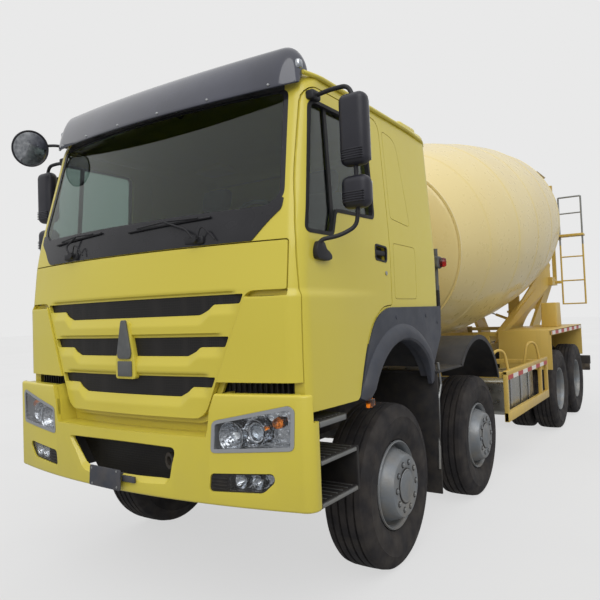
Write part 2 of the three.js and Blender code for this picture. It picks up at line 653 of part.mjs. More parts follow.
function roller(side) {
  const bore = boreRadius(ROLLER_PIN, 16);
  const half = ROLLER_WIDTH / 2;
  const profile = [[bore, -half], [ROLLER_RADIUS, -half], [ROLLER_RADIUS, half], [bore, half]];
  return turned(profile, rollerCentre(side), [0, AXIS.y, AXIS.z], ROLLER_SIDES);
}

function frontPedestal() {
  const flange = onAxis(-250 - SEAT_GAP);
  const [, flangeY, axisZ] = flange;
  const gearbox = rod([0, flangeY - 560 * AXIS.y, axisZ - 560 * AXIS.z], flange, 240, 16);
  const motor = box([-170, 170], [flangeY - 860, flangeY - 520], [axisZ - 290, axisZ + 60]);
  const shelfY = [flangeY - 430, flangeY - 120];
  const shelfZ = axisZ - 290;
  const seat = box([-250, 250], shelfY, [shelfZ - 10, axisZ - 150]);
  const legs = (side) => prismX([
    [2960, SUBFRAME_TOP + SEAT_GAP], [3620, SUBFRAME_TOP + SEAT_GAP],
    [shelfY[1], shelfZ], [shelfY[0], shelfZ],
  ], side * (RAIL_OUTER - 60), side * (RAIL_OUTER - 20));
  const shelf = box([-RAIL_OUTER + 20, RAIL_OUTER - 20], shelfY, [shelfZ - 40, shelfZ]);
  return join(gearbox, motor, seat, bothSides(legs), shelf);
}

const BEAM = { y0: 8620, y1: 8860, z0: 2030, z1: 2170, outer: 830 };

/** The rear frame: splayed struts, upright legs, a cross beam with roller seats and the gantry behind. */
function rearPedestal() {
  const foot = SUBFRAME_TOP + SEAT_GAP;
  const strut = (side) => {
    const ring = (offset) => [
      [side * (400 + offset), 6560, foot], [side * (400 + offset), 7240, foot],
      [side * (BEAM.outer - 60 + offset), BEAM.y0 + 120, BEAM.z0 + 20],
      [side * (BEAM.outer - 60 + offset), BEAM.y0 + 60, BEAM.z1 + 330],
    ];
    return loft([ring(-14), ring(14)]);
  };
  const upright = (side) => loft([
    [[side * 370, 8560, foot], [side * 420, 8560, foot], [side * 420, 9160, foot], [side * 370, 9160, foot]],
    [[side * 740, BEAM.y0, BEAM.z1], [side * 790, BEAM.y0, BEAM.z1],
      [side * 790, BEAM.y1 + 160, BEAM.z1], [side * 740, BEAM.y1 + 160, BEAM.z1]],
  ]);
  const beam = box([-BEAM.outer, BEAM.outer], [BEAM.y0, BEAM.y1], [BEAM.z0, BEAM.z1]);
  const rollerSeat = (side) => {
    const [cx, cy, cz] = rollerCentre(side);
    const half = ROLLER_WIDTH / 2 + RUN_GAP;
    const point = (along, up) => [cy + along * AXIS.y - up * AXIS.z, cz + along * AXIS.z + up * AXIS.y];
    const cheek = (end) => prismX([point(end * half, -250), point(end * (half + 25), -250),
      point(end * (half + 25), 45), point(end * half, 45)], cx - 65, cx + 65);
    const pin = rod([cx, cy - (half + 20) * AXIS.y, cz - (half + 20) * AXIS.z],
      [cx, cy + (half + 20) * AXIS.y, cz + (half + 20) * AXIS.z], ROLLER_PIN, 16);
    return join(cheek(-1), cheek(1), pin);
  };
  const gantry = (side) => join(
    box([side * 700, side * 760], [BEAM.y1 - 60, 9440], [BEAM.z0 + 20, BEAM.z1 - 20]),
    box([side * 700, side * 760], [9380, 9440], [BEAM.z0 + 20, 3860]),
  );
  const gantryBar = box([-760, 760], [9380, 9440], [3800, 3860]);
  const lowBar = box([-760, 760], [9380, 9440], [BEAM.z0 + 20, BEAM.z0 + 80]);
  const chuteArm = box([-60, 60], [9430, CHUTE_PIVOT_Y + 60], [CHUTE_PIVOT_Z - 160, CHUTE_PIVOT_Z - 40]);
  const chutePost = box([-90, 90], [9380, 9440], [CHUTE_PIVOT_Z - 160, BEAM.z0 + 60]);
  const pivotAt = (rise) => [0, CHUTE_PIVOT_Y, CHUTE_PIVOT_Z + rise];
  const pivotPin = rod(pivotAt(-60), pivotAt(90), CHUTE_PIVOT_RADIUS, 16);
  return join(bothSides(strut), bothSides(upright), beam, bothSides(rollerSeat), bothSides(gantry),
    gantryBar, lowBar, chuteArm, chutePost, pivotPin);
}

piece("drum", drum(), DRUM_CREAM);
piece("drum_roller_left", roller(1), STEEL_GREY);
piece("drum_roller_right", roller(-1), STEEL_GREY);
piece("front_pedestal", frontPedestal(), BODY_YELLOW);
piece("rear_pedestal", rearPedestal(), BODY_YELLOW);

// ---------------------------------------------------------------- charging and discharge

const HOPPER_SEAT = 3860 + SEAT_GAP;

/** A four-sided ring, from its front edge to its rear edge, each at its own height. */
const slantRing = (x, front, rear, inset = 0, lift = 0) => {
  const [y0, z0] = [front[0] + inset, front[1] + lift];
  const [y1, z1] = [rear[0] - inset, rear[1] + lift];
  return [[-x + inset, y0, z0], [x - inset, y0, z0], [x - inset, y1, z1], [-x + inset, y1, z1]];
};

/** The charging hopper: an open funnel whose spout leans into the drum's mouth. */
function hopper() {
  const wall = 12;
  const rings = (inset, ends) => [
    slantRing(200, [9150, 3480], [9300, 3300], inset, -ends),
    slantRing(240, [9450, 3780], [9720, 3640], inset),
    slantRing(260, [9450, HOPPER_SEAT], [9720, HOPPER_SEAT], inset),
    slantRing(560, [9240, 4130], [9950, 4130], inset, ends),
  ];
  const lugs = (side) => box([side * 250, side * 420], [9380, 9600], [HOPPER_SEAT, HOPPER_SEAT + 40]);
  return join(cut(loft(rings(0, 0)), loft(rings(wall, 12))), bothSides(lugs));
}

/** The discharge collector: a funnel that catches the concrete below the mouth and ends over the chute. */
function dischargeFunnel() {
  const wall = 12;
  const rings = (inset, ends) => [
    slantRing(170, [9520, FUNNEL_BOTTOM], [9850, FUNNEL_BOTTOM], inset, -ends),
    slantRing(430, [9300, 2640], [9900, 2850], inset, ends),
  ];
  const lugs = (side) => box([side * 380, side * (700 - SEAT_GAP)], [9390, 9440], [2590, 2640]);
  const hollow = loft(rings(wall, 12));
  return cut(join(loft(rings(0, 0)), bothSides(lugs)), hollow);
}

piece("charge_hopper", hopper(), BODY_YELLOW);
piece("discharge_funnel", dischargeFunnel(), BODY_YELLOW);

/** The turntable that the chute hangs on, with the lower bracket of its jack. */
function chuteSwivel() {
  const low = CHUTE_PIVOT_Z - 40 + SEAT_GAP;
  const hub = rod([0, CHUTE_PIVOT_Y, low], [0, CHUTE_PIVOT_Y, CHUTE_PIVOT_Z + 60], 80, 16);
  const base = box([JACK_FOOT.x - 40, 60], [CHUTE_PIVOT_Y - 110, CHUTE_PIVOT_Y + 110],
    [CHUTE_PIVOT_Z + 20, CHUTE_PIVOT_Z + 60]);
  const fork = [-1, 1].map((end) => box([CHUTE_TILT.x - 30, CHUTE_TILT.x + 60],
    [CHUTE_PIVOT_Y + end * 90, CHUTE_PIVOT_Y + end * 110], [CHUTE_PIVOT_Z + 20, CHUTE_TILT.z + 22]));
  const pin = rod([CHUTE_TILT.x, CHUTE_PIVOT_Y - 100, CHUTE_TILT.z],
    [CHUTE_TILT.x, CHUTE_PIVOT_Y + 100, CHUTE_TILT.z], 16, 16);
  const bracket = [-1, 1].map((end) => box([JACK_FOOT.x - 36, JACK_FOOT.x + 36],
    [CHUTE_PIVOT_Y + end * 32, CHUTE_PIVOT_Y + end * 44], [JACK_FOOT.z - 30, CHUTE_PIVOT_Z + 30]));
  const footAt = (end) => [JACK_FOOT.x, CHUTE_PIVOT_Y + end * 40, JACK_FOOT.z];
  const footPin = rod(footAt(-1), footAt(1), JACK_PIN_RADIUS, 12);
  const bore = rod([0, CHUTE_PIVOT_Y, low - 10], [0, CHUTE_PIVOT_Y, CHUTE_PIVOT_Z + 92],
    boreRadius(CHUTE_PIVOT_RADIUS, 16), 16);
  return join(cut(join(hub, fork, base), bore), pin, bracket, footPin);
}

/** A half-round trough, from s0 to s1 along a slope that falls towards -X from the tilt pin. */
function trough(s0, s1, edge, up) {
  const outer = arc(0, edge, CHUTE_HALF_WIDTH, 180, up ? 0 : 360, 8);
  const inner = arc(0, edge, CHUTE_HALF_WIDTH - CHUTE_WALL, up ? 0 : 360, 180, 8);
  return prismX([...outer, ...inner], -s1, -s0);
}

/** A point on the chute, from its place along the slope and above the tilt pin. */
const onChute = (along, up) => [
  CHUTE_TILT.x - along * cos(CHUTE_SLOPE) - up * sin(CHUTE_SLOPE),
  CHUTE_TILT.z - along * sin(CHUTE_SLOPE) + up * cos(CHUTE_SLOPE),
];

/** Puts a solid that was made along X about the tilt pin into the chute's slope. */
function inSlope(solid) {
  const geometry = toGeometry(solid);
  geometry.rotateY(-CHUTE_SLOPE);
  geometry.translate(CHUTE_TILT.x, CHUTE_PIVOT_Y, CHUTE_TILT.z);
  return toSolid(geometry);
}

const CHUTE_EDGE = CHUTE_HALF_WIDTH + CHUTE_LIFT;
const FOLD_AT = { s: CHUTE_LENGTH + FOLD, z: CHUTE_EDGE + FOLD };

function mainChute() {
  const body = trough(-160, CHUTE_LENGTH, CHUTE_EDGE, false);
  const lug = box([-45, 45], [-60, 60], [-30, CHUTE_LIFT + 8]);
  const ear = (side) => {
    const y = [side * (CHUTE_HALF_WIDTH + 1), side * (CHUTE_HALF_WIDTH + FOLD_EAR)];
    const plate = box([-FOLD_AT.s - 12, -CHUTE_LENGTH + 80], y, [CHUTE_EDGE - 40, FOLD_AT.z + 12]);
    const foot = box([-CHUTE_LENGTH + 5, -CHUTE_LENGTH + 80], [side * (CHUTE_HALF_WIDTH - 8), y[1]],
      [CHUTE_EDGE - 40, CHUTE_EDGE]);
    const pinAt = (at) => [-FOLD_AT.s, at, FOLD_AT.z];
    const pin = rod(pinAt(side * (CHUTE_HALF_WIDTH - CHUTE_WALL)), pinAt(y[1]), FOLD_PIN_RADIUS, 12);
    return join(plate, foot, pin);
  };
  const cheeks = [-1, 1].map((end) => box([-JACK_EYE.s - 30, -JACK_EYE.s + 30], [end * 20, end * 32],
    [JACK_EYE.up - 20, CHUTE_LIFT + 8]));
  const eyePin = rod([-JACK_EYE.s, -30, JACK_EYE.up], [-JACK_EYE.s, 30, JACK_EYE.up], JACK_PIN_RADIUS, 12);
  const bore = rod([0, -70, 0], [0, 70, 0], boreRadius(16, 16), 16);
  return inSlope(join(cut(join(body, lug), bore), bothSides(ear), cheeks, eyePin));
}

/** The chute's extension, folded over it upside down. */
function chuteExtension() {
  const end = CHUTE_LENGTH;
  const body = trough(end - EXTENSION_LENGTH, end, CHUTE_EDGE + 2 * FOLD, true);
  const ear = (side) => {
    const y = [side * (CHUTE_HALF_WIDTH - CHUTE_WALL), side * CHUTE_HALF_WIDTH];
    const plate = box([-FOLD_AT.s - 12, -end + 60], y, [FOLD_AT.z - 12, FOLD_AT.z + 60]);
    const bore = rod([-FOLD_AT.s, y[0] - side * 5, FOLD_AT.z], [-FOLD_AT.s, y[1] + side * 5, FOLD_AT.z],
      boreRadius(FOLD_PIN_RADIUS, 12), 12);
    return cut(plate, bore);
  };
  return inSlope(join(body, bothSides(ear)));
}

const [JACK_TOP_X, JACK_TOP_Z] = onChute(JACK_EYE.s, JACK_EYE.up);
const JACK_AXIS = new THREE.Vector3(JACK_TOP_X - JACK_FOOT.x, 0, JACK_TOP_Z - JACK_FOOT.z);
const JACK_LENGTH = JACK_AXIS.length();
const alongJack = (distance) => [
  JACK_FOOT.x + (JACK_AXIS.x * distance) / JACK_LENGTH,
  CHUTE_PIVOT_Y,
  JACK_FOOT.z + (JACK_AXIS.z * distance) / JACK_LENGTH,
];

/** A ring round a pin that lies along Y. */
function eye(at, bore) {
  return turned([[bore, -16], [JACK_RADIUS, -16], [JACK_RADIUS, 16], [bore, 16]], at, [0, 1, 0], 12);
}

function chuteJack() {
  const foot = alongJack(0);
  const barrel = rod(alongJack(JACK_RADIUS - 4), alongJack(300), JACK_RADIUS, 12);
  const bore = rod(alongJack(50), alongJack(305), boreRadius(JACK_ROD_RADIUS, 12), 12);
  const footBore = rod([foot[0], foot[1] - 30, foot[2]], [foot[0], foot[1] + 30, foot[2]],
    boreRadius(JACK_PIN_RADIUS, 12), 12);
  return cut(join(barrel, eye(foot, JACK_PIN_RADIUS + PIN_GAP)), bore, footBore);
}

function chuteJackRod() {
  const top = alongJack(JACK_LENGTH);
  return join(rod(alongJack(120), alongJack(JACK_LENGTH - JACK_RADIUS + 5), JACK_ROD_RADIUS, 12),
    eye(top, JACK_PIN_RADIUS + 7));
}

piece("chute_swivel", chuteSwivel(), BODY_YELLOW);
piece("main_chute", mainChute(), BODY_YELLOW);
piece("chute_extension", chuteExtension(), BODY_YELLOW);
piece("chute_jack", chuteJack(), BODY_YELLOW);
piece("chute_jack_rod", chuteJackRod(), STEEL_GREY);

// ---------------------------------------------------------------- rear furniture

const LADDER = { x: [870, 1235], y: 9300, low: 1700, high: 3600 };

function ladder() {
  const tube = 22;
  const rails = LADDER.x.map((x) => rod([x, LADDER.y, LADDER.low], [x, LADDER.y, LADDER.high], tube, 8));
  const rungs = [1712, 2120, 2540, 3310, LADDER.high].map((z) => rod([LADDER.x[0], LADDER.y, z],
    [LADDER.x[1], LADDER.y, z], 17, 8));
  const platform = box([760 + SEAT_GAP, LADDER.x[1] + 20], [LADDER.y - 60, LADDER.y + 140], [2900, 2940]);
  const stay = box([760 + SEAT_GAP, LADDER.x[0]], [9385, 9435], [2860, 2940]);
  const lowStay = box([760 + SEAT_GAP, LADDER.x[0]], [LADDER.y - 15, LADDER.y + 15], [2075, 2125]);
  return join(rails, rungs, platform, stay, lowStay);
}

function rearBumper() {
  const bar = box([-1200, 1200], [9560 + SEAT_GAP, 9620], [520, 640]);
  const hangers = (side) => box([side * RAIL_INNER, side * RAIL_OUTER], [9560 + SEAT_GAP, 9600], [600, 1050]);
  const lamps = (side) => box([side * 900, side * 1210], [9560 + SEAT_GAP, 9640], [630, 780]);
  return join(bar, bothSides(hangers), bothSides(lamps));
}

function waterTank() {
  const y = 2600;
  const z = 1640;
  const body = rod([-880, y, z], [880, y, z], 225, 20);
  const saddle = (side) => box([side * (RAIL_OUTER - 60), side * (RAIL_OUTER - 5)], [y - 95, y + 95],
    [SUBFRAME_TOP + SEAT_GAP, z - 120]);
  const filler = rod([600, y, z + 200], [600, y, z + 290], 60, 12);
  return join(body, bothSides(saddle), filler);
}

piece("ladder", ladder(), BODY_YELLOW);
piece("rear_bumper", rearBumper(), CHASSIS_BLACK);
piece("water_tank", waterTank(), BODY_YELLOW);
piece("mudguards", mudguards(), DARK_PLASTIC);

// ---------------------------------------------------------------- cab

/** Levels of the cab's outside: height, half width, front in the middle, rear. */
const CAB_LEVELS = [
  { z: 1190, half: CAB_HALF_WIDTH, front: 115, rear: CAB_REAR },
  { z: 1830, half: CAB_HALF_WIDTH, front: 115, rear: CAB_REAR },
  { z: COWL_BOTTOM, half: CAB_HALF_WIDTH, front: 145, rear: CAB_REAR },
  { z: WINDSHIELD_BOTTOM, half: CAB_HALF_WIDTH - 8, front: 180, rear: CAB_REAR },
  { z: WINDSHIELD_TOP, half: CAB_HALF_WIDTH - 52, front: 370, rear: CAB_REAR },
  { z: CAB_ROOF, half: CAB_HALF_WIDTH - 62, front: 435, rear: CAB_REAR },
  { z: CAB_ROOF + 60, half: CAB_HALF_WIDTH - 190, front: 640, rear: CAB_REAR - 150 },
];

/** The plan outline of the cab at one level. */
function cabRing(level) {
  const { half, front, rear, z } = level;
  const flat = half - CORNER_RADIUS;
  const bow = (x) => CAB_BOW * (x / 1000) ** 2;
  const cornerY = front + bow(flat) + CORNER_RADIUS;
  const right = [
    [flat / 2, front + bow(flat / 2)],
    [flat, front + bow(flat)],
    [half - CORNER_RADIUS * (1 - sin(rad(35))), cornerY - CORNER_RADIUS * cos(rad(35))],
    [half, cornerY],
    [half, rear - 60],
    [half - 60, rear],
  ];
  const left = right.map(([x, y]) => [-x, y]).reverse();
  return [...right, ...left, [0, front]].map(([x, y]) => [x, y, z]);
}

/** The cab's outside, with each face moved inwards by its own distance. */
function cabBody({ side = 0, front = 0, rear = 0, top = 0, bottom = 0 } = {}) {
  return loft(CAB_LEVELS.map((level, i) => cabRing({
    z: level.z + (i === 0 ? bottom : 0) - (i >= CAB_LEVELS.length - 2 ? top : 0),
    half: level.half - side,
    front: level.front + front,
    rear: level.rear - rear,
  })));
}

const CAB_OUTSIDE = cabBody();
const JUST_OUTSIDE_CAB = cabBody({ side: -SEAT_GAP, front: -SEAT_GAP, top: -SEAT_GAP });
const CAB_INSIDE = cabBody({
  side: DOOR_THICKNESS, front: LID_THICKNESS + 40, rear: CAB_SKIN, top: CAB_SKIN,
});

/** The outermost layer of the cab's sides. */
const sideSkin = (from, to) => cut(
  cabBody({ side: from, front: -900, rear: -900, top: -900, bottom: -900 }),
  cabBody({ side: to, front: -900, rear: -900, top: -1000, bottom: -1000 }),
);

/** The outermost layer of the cab's front. */
const frontSkin = (from, to) => cut(
  cabBody({ front: from, top: -1 }),
  cabBody({ front: to, top: -300, bottom: -300, rear: -300 }),
);

const DOOR_OUTLINE = [
  [DOOR_FRONT, 1186], [860, 1178], [950, 1420], [1050, 1605], [1235, 1730], [1385, 1740],
  [1385, 2990], [500, 2990], [345, 2400], [DOOR_FRONT + 10, COWL_BOTTOM], [DOOR_FRONT, 1640],
];

/** An outline moved outwards by a distance, for a gap all round. */
function widened(outline, distance) {
  const count = outline.length;
  const turn = THREE.ShapeUtils.isClockWise(outline.map(([u, v]) => new THREE.Vector2(u, v))) ? -1 : 1;
  return outline.map((point, i) => {
    const before = outline[(i + count - 1) % count];
    const after = outline[(i + 1) % count];
    const a = new THREE.Vector2(point[0] - before[0], point[1] - before[1]).normalize();
    const b = new THREE.Vector2(after[0] - point[0], after[1] - point[1]).normalize();
    const na = new THREE.Vector2(a.y, -a.x).multiplyScalar(turn);
    const nb = new THREE.Vector2(b.y, -b.x).multiplyScalar(turn);
    const bisector = na.clone().add(nb).normalize();
    const reach = distance / Math.max(0.5, bisector.dot(na));
    return [point[0] + bisector.x * reach, point[1] + bisector.y * reach];
  });
}

const WINDOW_OUTLINE = [
  [350, 2145], [630, 2145], [685, 2290], [1165, 2300], [1180, 2330], [1180, 2880], [1150, 2910], [515, 2905],
];
const WINDSHIELD_OUTLINE = [
  [-1010, WINDSHIELD_BOTTOM], [1010, WINDSHIELD_BOTTOM], [1045, WINDSHIELD_BOTTOM + 45],
  [1000, WINDSHIELD_TOP - 30], [970, WINDSHIELD_TOP], [-970, WINDSHIELD_TOP],
  [-1000, WINDSHIELD_TOP - 30], [-1045, WINDSHIELD_BOTTOM + 45],
];
const LID_OUTLINE = [
  [-LID_HALF_WIDTH, COWL_BOTTOM - 4], [LID_HALF_WIDTH, COWL_BOTTOM - 4], [LID_HALF_WIDTH, 1832],
  [868, 1832], [600, 1175], [560, 1140], [-560, 1140], [-600, 1175], [-868, 1832], [-LID_HALF_WIDTH, 1832],
];

function doorBlank(side, outline) {
  return prismX(outline, side * 950, side * 1300);
}

function door(side) {
  const panel = sideSkin(0, DOOR_THICKNESS).intersect(doorBlank(side, DOOR_OUTLINE)).intersect(CAB_OUTSIDE);
  return cut(panel, doorBlank(side, WINDOW_OUTLINE));
}

function doorGlass(side) {
  return sideSkin(24, 24 + GLASS_THICKNESS).intersect(doorBlank(side, widened(WINDOW_OUTLINE, -SEAT_GAP)));
}

const ARCH = { y: 1500, z: 930, radius: 570 };

/** The dark flare over the first wheel, part of the cab's side below the door and the sleeper. */
function archFlare(side) {
  const inner = arc(ARCH.y, ARCH.z, ARCH.radius, 28, 150, 8).filter(([y]) => y < 2010 && y > 1000);
  const outline = [[2245, CAB_FLOOR - 6], [2262, 1722], [1399, 1722], [1240, 1716], [1062, 1592], [965, 1412],
    [874, 1178], [1000, 1190], ...inner.reverse()];
  return prismX(outline, side * 1070, side * 1192);
}

function stepWell(side) {
  const x = (inner, outer) => [side * inner, side * outer];
  const outer = box(x(700, 1104), [360, 850], [1190, CAB_FLOOR + 20]);
  const hollow = box(x(730, 1204), [390, 820], [1220, CAB_FLOOR + 200]);
  return cut(outer, hollow);
}

function cabShell() {
  const below = [
    box([-1300, 1300], [860, 2400], [1000, CAB_FLOOR]),
    box([-1300, 1300], [330, 870], [1000, CAB_FLOOR]),
    box([-1300, 1300], [-100, 340], [1000, 1360]),
  ];
  const floorSkin = box([-1300, 1300], [-100, 2400], [1000, CAB_FLOOR + 50]);
  const hollow = cut(CAB_INSIDE, floorSkin);
  let shell = cut(CAB_OUTSIDE, below, hollow);
  shell = join(shell, stepWell(1), stepWell(-1));
  const wellMouth = (side) => box([side * 730, side * 1090], [390, 820], [1220, CAB_FLOOR + 60]);
  const lid = frontSkin(-20, LID_THICKNESS + 6).intersect(prismY(widened(LID_OUTLINE, 8), -200, 900));
  // room for the tips of the lid's wings, which dip as the lid starts to swing
  const wingRoom = (side) => box([side * 870, side * (LID_HALF_WIDTH + 8)], [170, 265], [1800, 1830]);
  const windshieldHole = prismY(WINDSHIELD_OUTLINE, -200, 800);
  const doorHole = (side) => doorBlank(side, widened(DOOR_OUTLINE, RUN_GAP)).intersect(
    sideSkin(-40, DOOR_THICKNESS + 10));
  shell = cut(shell, bothSides(wellMouth), lid, bothSides(wingRoom), windshieldHole, bothSides(doorHole));
  const flares = cut(bothSides(archFlare), hollow, bothSides((side) => doorHole(side)));
  const arms = (side) => {
    const x = [side * TILT_ARM.inner, side * TILT_ARM.outer];
    const arm = prismX([[TILT_PIVOT.y - 40, TILT_PIVOT.z - 10], [TILT_PIVOT.y - 15, TILT_PIVOT.z - 38],
      [TILT_PIVOT.y + 15, TILT_PIVOT.z - 38], [TILT_PIVOT.y + 40, TILT_PIVOT.z - 10],
      [TILT_PIVOT.y + 90, CAB_FLOOR + 20], [TILT_PIVOT.y - 60, CAB_FLOOR + 20]], ...x);
    const bore = rod([side * (TILT_ARM.inner - 5), TILT_PIVOT.y, TILT_PIVOT.z],
      [side * (TILT_ARM.outer + 5), TILT_PIVOT.y, TILT_PIVOT.z], boreRadius(TILT_PIN_RADIUS, 16), 16);
    return cut(arm, bore);
  };
  const lidPads = (side) => frontSkin(LID_THICKNESS + SEAT_GAP, LID_THICKNESS + 20).intersect(
    box([side * 480, side * 560], [100, 400], [2015, 2088]));
  const doorPadX = CAB_HALF_WIDTH - DOOR_THICKNESS - SEAT_GAP;
  const doorPads = (side) => join([1560, 1960].map((z) => box([side * (doorPadX - 14), side * doorPadX],
    [DOOR_HINGE.y + 36, DOOR_HINGE.y + 76], [z, z + 40])));
  return join(shell, flares, bothSides(arms), bothSides(lidPads), bothSides(doorPads));
}

function windshield() {
  const opening = prismY(widened(WINDSHIELD_OUTLINE, -SEAT_GAP), -200, 900);
  return frontSkin(6, 6 + GLASS_THICKNESS).intersect(opening);
}

function frontLid() {
  return frontSkin(0, LID_THICKNESS).intersect(prismY(LID_OUTLINE, -200, 900));
}

const VISOR = { half: 1080, lowY: 238, low: 2938, highY: 410, high: CAB_ROOF + 125 };

/** The sun visor: a bowed strip that leans forwards from above the roof's front edge. */
function sunVisor() {
  const { half } = VISOR;
  const wall = 18;
  const section = (x) => {
    const back = CAB_BOW * (x / 1000) ** 2;
    const low = { y: VISOR.lowY + 1.6 * back, z: VISOR.low + 0.42 * back };
    const high = { y: VISOR.highY + back, z: VISOR.high };
    const middle = { y: (low.y + high.y) / 2 - 30, z: (low.z + high.z) / 2 + 18 };
    return [[x, low.y, low.z], [x, low.y + wall, low.z], [x, middle.y + wall, middle.z - 8],
      [x, high.y + wall, high.z - 6], [x, high.y, high.z], [x, middle.y, middle.z]];
  };
  const steps = 8;
  const strips = Array.from({ length: steps }, (_, i) => {
    const from = -half + (2 * half * i) / steps;
    return bentStrip(section(from), section(from + (2 * half) / steps));
  });
  const bracketZ = [CAB_ROOF - 40, CAB_ROOF + 40];
  const brackets = [-700, 0, 700].map((x) => box([x - 20, x + 20], [300, 700], bracketZ));
  return cut(join(strips, brackets), JUST_OUTSIDE_CAB);
}

/** A strip between two sections of six points, split along the line where the section bends. */
function bentStrip(near, far) {
  const quads = [[0, 1, 2, 5], [5, 2, 3, 4]];
  return join(quads.map((corners) => loft([corners.map((k) => near[k]), corners.map((k) => far[k])])));
}

/** The bumper: a bowed shell with a low middle, a tower at each end and the plate bracket. */
function bumper() {
  const outerY = (x) => 46 + 104 * (x / 1000) ** 2;
  const plan = (inset) => {
    const half = BUMPER_HALF_WIDTH - inset;
    const flat = half - 70;
    const front = [0, 0.35, 0.7, 1].map((t) => [flat * t, outerY(flat * t) + inset]);
    const corner = [[half - 24, outerY(flat) + inset + 22], [half, outerY(flat) + inset + 75]];
    const right = [...front, ...corner, [half, BUMPER_REAR]];
    return [...right, ...right.slice(1).map(([x, y]) => [-x, y]).reverse()];
  };
  const outer = prismZ(plan(0), BUMPER_BOTTOM, BUMPER_TOP);
  const openBehind = plan(BUMPER_WALL).map(([x, y]) => [x, y > BUMPER_REAR - 7 ? 400 : y]);
  const inner = prismZ(openBehind, BUMPER_BOTTOM - 10, BUMPER_TOP + 10);
  const overShelf = prismY([
    [-650, BUMPER_SHELF], [650, BUMPER_SHELF], [700, BUMPER_TOP + 20], [-700, BUMPER_TOP + 20],
  ], -50, 500);
  const overStep = (side) => box([side * 1000, side * 1400], [236, 500], [1148, BUMPER_TOP + 20]);
  const intake = prismY([[-390, 795], [390, 795], [440, 985], [-440, 985]], -50, 300);
  const shell = cut(outer, inner, overShelf, bothSides(overStep), intake);
  const plate = box([-240, 60], [0, 56], [712, 840]);
  const armX = (side) => [side * TILT_ARM.inner, side * TILT_ARM.outer];
  const toArm = (side) => box(armX(side), [60, armFront(1020) - SEAT_GAP], [1000, 1040]);
  return join(shell, bothSides(toArm), plate);
}

/** How far forward the tilt arms reach at a height. */
function armFront(z) {
  const low = TILT_PIVOT.z - 10;
  const t = (z - low) / (CAB_FLOOR + 20 - low);
  return TILT_PIVOT.y - 40 - 20 * t - 1;
}

const MIRROR = {
  inner: 1290, outer: 1456, front: 500, rear: 602, upper: [2490, 2890], lower: [2258, 2438], tube: 13,
};

/** The door mirrors of one side: two housings on a bent tube with its two feet on the door. */
function mirror(side) {
  const at = (x) => side * x;
  const mid = (MIRROR.inner + MIRROR.outer) / 2;
  const tubeY = (MIRROR.front + MIRROR.rear) / 2;
  const housing = (z) => box([at(MIRROR.inner), at(MIRROR.outer)], [MIRROR.front, MIRROR.rear], z);
  const tube = pipe([
    [at(1125), 550, 2930], [at(1230), 552, 2945], [at(mid - 30), tubeY, 2942], [at(mid), tubeY, 2900],
    [at(mid), tubeY, 2600], [at(mid), tubeY, 2250], [at(mid - 30), tubeY - 10, 2160], [at(1180), 420, 2050],
  ], MIRROR.tube, 26);
  const upperFoot = box([at(1090), at(1150)], [500, 590], [2905, 2960]);
  const lowerFoot = box([at(1150), at(1215)], [370, 470], [1985, 2065]);
  const whole = join(housing(MIRROR.upper), housing(MIRROR.lower), tube, upperFoot, lowerFoot);
  return cut(whole, JUST_OUTSIDE_CAB);
}

const KERB_MIRROR = { centre: [-1214, 300, 3008], facing: [0.93, -0.25, -0.25], radius: 134 };

/** The round kerb mirror, which faces across the front, on an arm from the corner away from the driver. */
function kerbMirror() {
  const { centre: [x, y, z], facing, radius } = KERB_MIRROR;
  const profile = [[0, -34], [60, -30], [radius - 14, -10], [radius, 4], [radius - 4, 12], [0, 16]];
  const dish = turned(profile, [x, y, z], facing, 16);
  const arm = pipe([
    [x - 18, y + 10, z + 6], [x - 20, y + 110, z + 44], [x + 24, y + 200, z + 62], [x + 64, y + 262, z + 54],
    [x + 108, y + 290, z + 40], [x + 170, y + 310, z + 34],
  ], 12, 16);
  return cut(join(dish, arm), JUST_OUTSIDE_CAB);
}

function dashboard() {
  const room = cabBody({
    side: DOOR_THICKNESS, front: LID_THICKNESS + 40 + SEAT_GAP, rear: CAB_SKIN, top: CAB_SKIN,
  });
  const block = box([-1085, 1085], [0, 720], [1980, 2215]).intersect(room);
  const binnacle = box([300, 740], [500, 700], [2200, 2290]);
  const console = box([-180, 180], [520, 715], [CAB_FLOOR + 50 + SEAT_GAP, 2000]);
  const hub = [520, 880, 2250];
  const rim = new THREE.TorusGeometry(225, 16, 8, 20);
  rim.rotateX(rad(-55));
  rim.translate(...hub);
  const column = rod([520, 690, 2120], hub, 34, 8);
  const spokes = [0, 1, 2].map((k) => {
    const angle = rad(90 + 120 * k);
    const tip = new THREE.Vector3(215 * cos(angle), 215 * sin(angle), 0).applyAxisAngle(
      new THREE.Vector3(1, 0, 0), rad(-55));
    return rod(hub, [hub[0] + tip.x, hub[1] + tip.y, hub[2] + tip.z], 14, 6);
  });
  return join(block, binnacle, console, column, toSolid(rim), spokes);
}

function seat(side) {
  const x = (half) => [side * 520 - half, side * 520 + half];
  const pedestal = box(x(200), [1020, 1420], [CAB_FLOOR + 50 + SEAT_GAP, 1900]);
  const cushion = box(x(255), [960, 1480], [1880, 2010]);
  const back = prismX([[1400, 1980], [1500, 1960], [1640, 2600], [1540, 2620]], ...x(245));
  const head = prismX([[1552, 2600], [1632, 2590], [1660, 2780], [1570, 2790]], ...x(140));
  return join(pedestal, cushion, back, head);
}

